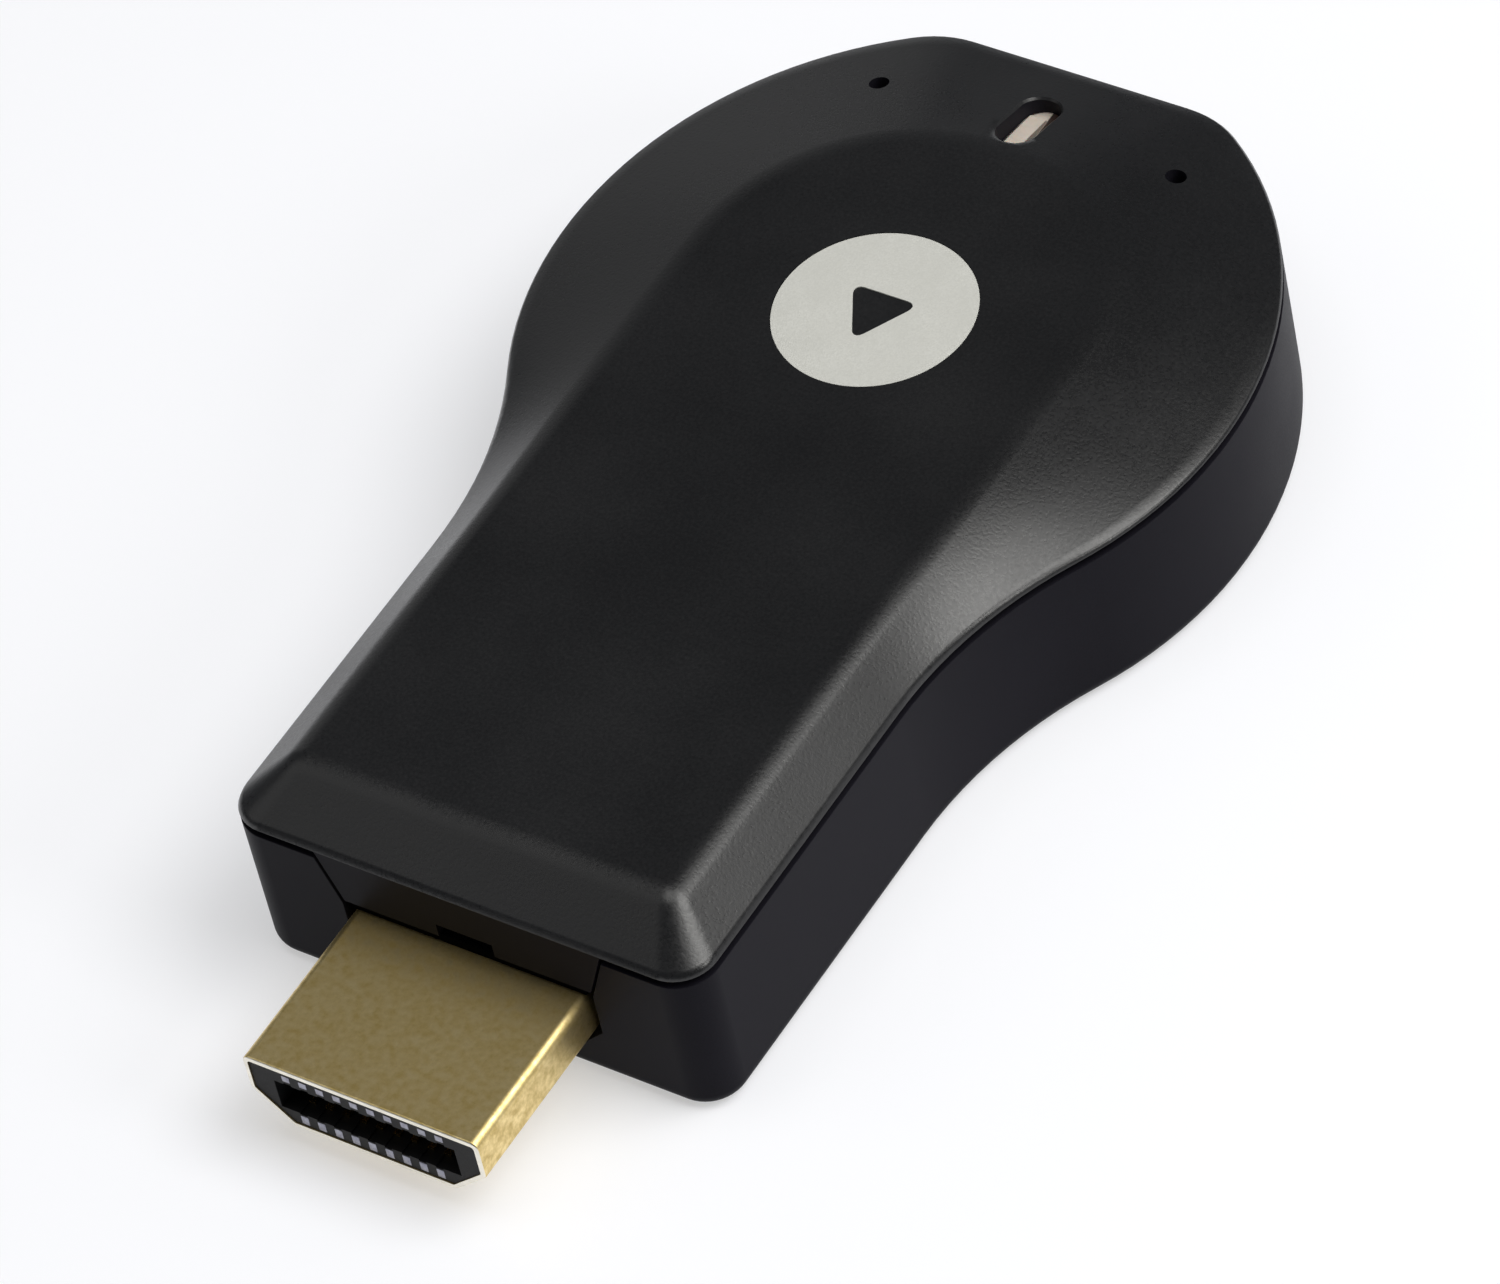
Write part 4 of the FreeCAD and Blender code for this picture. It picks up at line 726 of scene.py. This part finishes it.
raised = bmesh.ops.extrude_face_region(badge_bm, geom=sheet_faces, use_keep_orig=True)["geom"]
bmesh.ops.translate(badge_bm, verts=[g for g in raised if isinstance(g, bmesh.types.BMVert)],
                    vec=(0, 0, DISC_THICK * MM))
bmesh.ops.recalc_face_normals(badge_bm, faces=badge_bm.faces)
soften(badge_bm, lambda middle, edge: middle.z > disc_floor.z + DISC_THICK - 0.01,
       DISC_ROUNDING, segments=2)
badge = make_piece("badge", badge_bm, [SILVER_INK])
print("badge: faces", len(badge.data.polygons))

# %% [markdown]
# The tub is the lower half of the case. Its upper edge is rounded and stands 0.15 mm lower
# than in the CAD model, so that the seam below the rim reads as a dark line. The mouths for
# the plug and the socket are rounded too.

# %% Tub
SEAM_WIDER = 0.15
TUB_ROUNDING = 0.05
PLUG_MOUTH_HALF, SOCKET_MOUTH_HALF, MOUTH_FOOT = 9, 5, 1.0


def tub_edge(middle, edge):
    """The upper edge, and the outlines of the openings in front and tail."""
    faces = edge.link_faces
    upper = middle.z > TUB_TOP - SEAM_WIDER - SHELF and any(abs(f.normal.z) < 0.5 for f in faces)
    mouth = any(abs(f.normal.y) > 0.99 for f in faces) and (
        (abs(middle.y - FRONT) < SHELF and abs(middle.x) < PLUG_MOUTH_HALF) or
        (abs(middle.y - TAIL) < SHELF and abs(middle.x) < SOCKET_MOUTH_HALF))
    return upper or (mouth and MOUTH_FOOT < middle.z < TUB_TOP - SEAM_WIDER)


tub_bm = merged_copy("bottom_shell")
for vert in tub_bm.verts:
    if vert.co.z > (TUB_TOP - SHELF) * MM:
        vert.co.z -= SEAM_WIDER * MM
count = soften(tub_bm, tub_edge, TUB_ROUNDING, segments=2)
tub = make_piece("tub", tub_bm, [TUB_ABS])
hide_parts("bottom_shell")
print("tub: softened", count, "edges, faces", len(tub.data.polygons))

# %% [markdown]
# The reset button is a small bar in the side of the head. A finger meets its outer face,
# so that face has the roundest edge of the whole stick.

# %% Reset button
BUTTON_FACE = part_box("reset_button")[0].x / MM
BUTTON_ROUNDING = 0.22
button_bm = merged_copy("reset_button")
count = soften(button_bm, lambda middle, edge: middle.x < BUTTON_FACE + SHELF
               and any(f.normal.x < -0.9 for f in edge.link_faces), BUTTON_ROUNDING, segments=4)
button = make_piece("reset_button_cap", button_bm, [BUTTON_ABS], body="button")
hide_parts("reset_button")
print("button: softened", count, "edges, faces", len(button.data.polygons))

# %% [markdown]
# The plug's shell is stamped from steel strip that was gold-flashed before it was cut.
# So the cut edge round the mouth is bare steel, a pale line, while the outside is a soft
# olive gold. The front faces of the copy get the second material.

# %% Plug shell
PLUG_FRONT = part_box("plug_shell")[0].y / MM
CUT_EDGE = 0.1
shell_bm = merged_copy("plug_shell")
for face in shell_bm.faces:
    if face.normal.y < -0.6 and face.calc_center_median().y < (PLUG_FRONT + CUT_EDGE) * MM:
        face.material_index = 1
shell = make_piece("plug_sleeve", shell_bm, [PLUG_GOLD, CUT_STEEL])
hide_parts("plug_shell")
print("plug sleeve: faces", len(shell.data.polygons))

# %% [markdown]
# Between the plug and the cover's tongue lies a strip of near-black foam, set back a little.
# It is painted shade: it stands for the deep shade in the gap, and it makes a crisp black
# line above the plug, where light would otherwise run in over the gold. It is a block with
# rounded edges.

# %% Strip of painted shade above the plug
# Painted shade: near-black foam tones for the deep shade in the gap above the plug.
GAP_SHADE, tree, shader, place = start_material("black_foam_painted_gap_shade", IOR=1.45, Specular_IOR_Level=0.0)
cells = add_node(tree, "ShaderNodeTexVoronoi", {"Vector": place, "Scale": per_mm(0.12)})
base = add_node(tree, "ShaderNodeMix",
                {0: cells.outputs["Distance"], 6: colour("#050505"), 7: colour("#0d0d0d")},
                data_type="RGBA")
rough = add_node(tree, "ShaderNodeMapRange",
                 {"Value": cells.outputs["Distance"], "To Min": 0.85, "To Max": 0.95})
bump = add_node(tree, "ShaderNodeBump",
                {"Height": cells.outputs["Distance"], "Distance": 0.05 * MM, "Strength": 1.0})
finish_with(tree, shader, base.outputs[2], rough.outputs[0], bump.outputs["Normal"])

PLUG_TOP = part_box("plug_shell")[1].z / MM
GAP_SHADE_LOW, GAP_SHADE_HIGH = Vector((-6.85, FRONT + 0.16, 6.01)), Vector((6.85, FRONT + 0.90, 6.58))
GAP_SHADE_ROUNDING = 0.06
gap_shade_bm = bmesh.new()
bmesh.ops.create_cube(gap_shade_bm, size=1.0,
                      matrix=Matrix.Translation((GAP_SHADE_LOW + GAP_SHADE_HIGH) / 2 * MM)
                      @ Matrix.Diagonal((*((GAP_SHADE_HIGH - GAP_SHADE_LOW) * MM), 1.0)))
bmesh.ops.bevel(gap_shade_bm, geom=gap_shade_bm.edges[:], offset=GAP_SHADE_ROUNDING * MM, offset_type="OFFSET",
                segments=2, profile=0.5, affect="EDGES", material=-1)
gap_shade_strip = make_piece("plug_painted_shade_strip", gap_shade_bm, [GAP_SHADE])
print("foam strip:", len(gap_shade_strip.data.polygons), "faces, plug top at", PLUG_TOP)

# %% [markdown]
# The core that fills the shell is black glass-filled nylon. In the photograph it comes
# almost to the shell's edge, so the front of the copy is drawn forward. The contacts end
# in both of its lips: a row of small tinned blocks above the slot and one below it, a
# millimetre apart.

# %% Plug core and contact ends
CORE_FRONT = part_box("plug_insulator")[0].y / MM
CORE_SINK = 0.07
core_bm = merged_copy("plug_insulator")
for vert in core_bm.verts:
    if vert.co.y < (CORE_FRONT + 0.01) * MM:
        vert.co.y = (PLUG_FRONT + CORE_SINK) * MM
core = make_piece("plug_core", core_bm, [CORE_NYLON])
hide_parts("plug_insulator")

PITCH = 1.0
END_WIDTH, END_DEPTH = 0.46, 0.4
END_PROUD, END_ROUNDING = 0.03, 0.04
ROWS = {"upper": (10, 5.24, 0.42), "lower": (9, 2.30, 0.60)}


def contact_ends(row, count, middle_z, tall):
    """A row of small blocks with rounded edges, let into the front of the core."""
    bm = bmesh.new()
    for step in range(count):
        x = (step - (count - 1) / 2) * PITCH
        centre = Vector((x, PLUG_FRONT + CORE_SINK - END_PROUD + END_DEPTH / 2, middle_z))
        bmesh.ops.create_cube(bm, size=1.0, matrix=Matrix.Translation(centre * MM)
                              @ Matrix.Diagonal((END_WIDTH * MM, END_DEPTH * MM, tall * MM, 1.0)))
    bmesh.ops.bevel(bm, geom=bm.edges[:], offset=END_ROUNDING * MM, offset_type="OFFSET",
                    segments=2, profile=0.5, affect="EDGES", material=-1)
    piece = make_piece("contact_ends_" + row, bm, [CONTACT_TIN])
    return piece


for row, (count, middle_z, tall) in ROWS.items():
    ends = contact_ends(row, count, middle_z, tall)
    print("contact ends:", row, len(ends.data.polygons), "faces")

# %% [markdown]
# The floor is a large sheet of pale paper. It keeps its own colour, so it gives the stick
# a natural glow from below. A light of its own, seen only by the camera and in reflections,
# brings it just up to white, so that the soft shadow round the stick stays.

# %% Floor
FLOOR_RADIUS, FLOOR_SIDES = 3.0, 96
FLOOR_DROP = 0.00002
FLOOR_LIFT = 0.46

floor_bm = bmesh.new()
bmesh.ops.create_circle(floor_bm, cap_ends=True, segments=FLOOR_SIDES, radius=FLOOR_RADIUS)
floor_mesh = bpy.data.meshes.new("floor")
floor_bm.to_mesh(floor_mesh)
floor_bm.free()
floor = bpy.data.objects.new("floor", floor_mesh)
bpy.context.scene.collection.objects.link(floor)
floor.location.z = -FLOOR_DROP
PAPER, tree, shader, place = start_material("white_paper", Roughness=0.9, Specular_IOR_Level=0.0,
                                            Base_Color=colour("#c3c4c9"),
                                            Emission_Color=colour("#ffffff"))
path = add_node(tree, "ShaderNodeLightPath")
seen = add_node(tree, "ShaderNodeMath",
                {0: path.outputs["Is Camera Ray"], 1: path.outputs["Is Glossy Ray"]},
                operation="ADD")
seen = add_node(tree, "ShaderNodeMath",
                {0: seen.outputs[0], 1: path.outputs["Is Transmission Ray"]},
                operation="ADD", use_clamp=True)
lift = add_node(tree, "ShaderNodeMath", {0: seen.outputs[0], 1: FLOOR_LIFT}, operation="MULTIPLY")
tree.links.new(lift.outputs[0], shader.inputs["Emission Strength"])
floor_mesh.materials.append(PAPER)
print("floor radius:", FLOOR_RADIUS, "m")

# %% [markdown]
# Black plastic shows its shape only by what it reflects, so the lamps are placed by the
# mirror rule: a slope looks bright when a lamp stands where the slope, as a mirror, sends
# the camera's line of sight. The main light is a soft window high at the right: a bright
# middle inside a wide, weaker edge, for the flare and the front corner, and a small top
# for the flare's upper end. One at the right and behind is for the neck's slope and the
# plug's edge, a small strong one low at the right draws the line along the rim, and one
# overhead is for the slopes of the left side. Two weak ones fill the left. The panel
# mirrors only the dim room. Over the floor all of them add up to a little over a plain
# light of 1.


# %% World and lamps
WORLD_GREY = 0.145
LAMP_DISTANCE = 0.6
LAMP_TINT, ROOM_TINT = "#fffefb", "#f3f7ff"

world = bpy.data.worlds.new("studio")
bpy.context.scene.world = world
world.use_nodes = True
world.node_tree.nodes["Background"].inputs["Color"].default_value = colour(ROOM_TINT)
world.node_tree.nodes["Background"].inputs["Strength"].default_value = WORLD_GREY


def softbox(name, towards, size, radiance):
    """A round area lamp that looks at the stick from a direction."""
    data = bpy.data.lights.new(name, "AREA")
    data.shape = "DISK"
    data.size = size
    data.energy = radiance * math.pi * math.pi * (size / 2) ** 2
    data.color = colour(LAMP_TINT)[:3]
    lamp = bpy.data.objects.new(name, data)
    bpy.context.scene.collection.objects.link(lamp)
    way = Vector(towards).normalized()
    lamp.location = way * LAMP_DISTANCE
    lamp.rotation_mode = "QUATERNION"
    lamp.rotation_quaternion = way.to_track_quat("Z", "Y")
    return lamp


LAMPS = [softbox("window_middle", (0.53, 0.18, 0.83), 0.34, 4.2),
         softbox("window_edge", (0.42, 0.13, 0.90), 0.52, 1.85),
         softbox("right_back", (0.63, 0.50, 0.60), 0.34, 0.85),
         softbox("window_top", (0.23, 0.28, 0.93), 0.16, 1.8),
         softbox("ceiling", (-0.12, -0.05, 0.99), 0.28, 2.2),
         softbox("rim_line", (0.87, 0.07, 0.47), 0.18, 8.0),
         softbox("fill", (-0.62, -0.38, 0.69), 0.44, 0.5),
         softbox("back_left", (-0.75, 0.62, 0.22), 0.40, 0.24)]
print("lamps:", [(lamp.name, round(lamp.data.energy, 2)) for lamp in LAMPS])

# %% Finish
bpy.context.scene.view_settings.view_transform = "Standard"
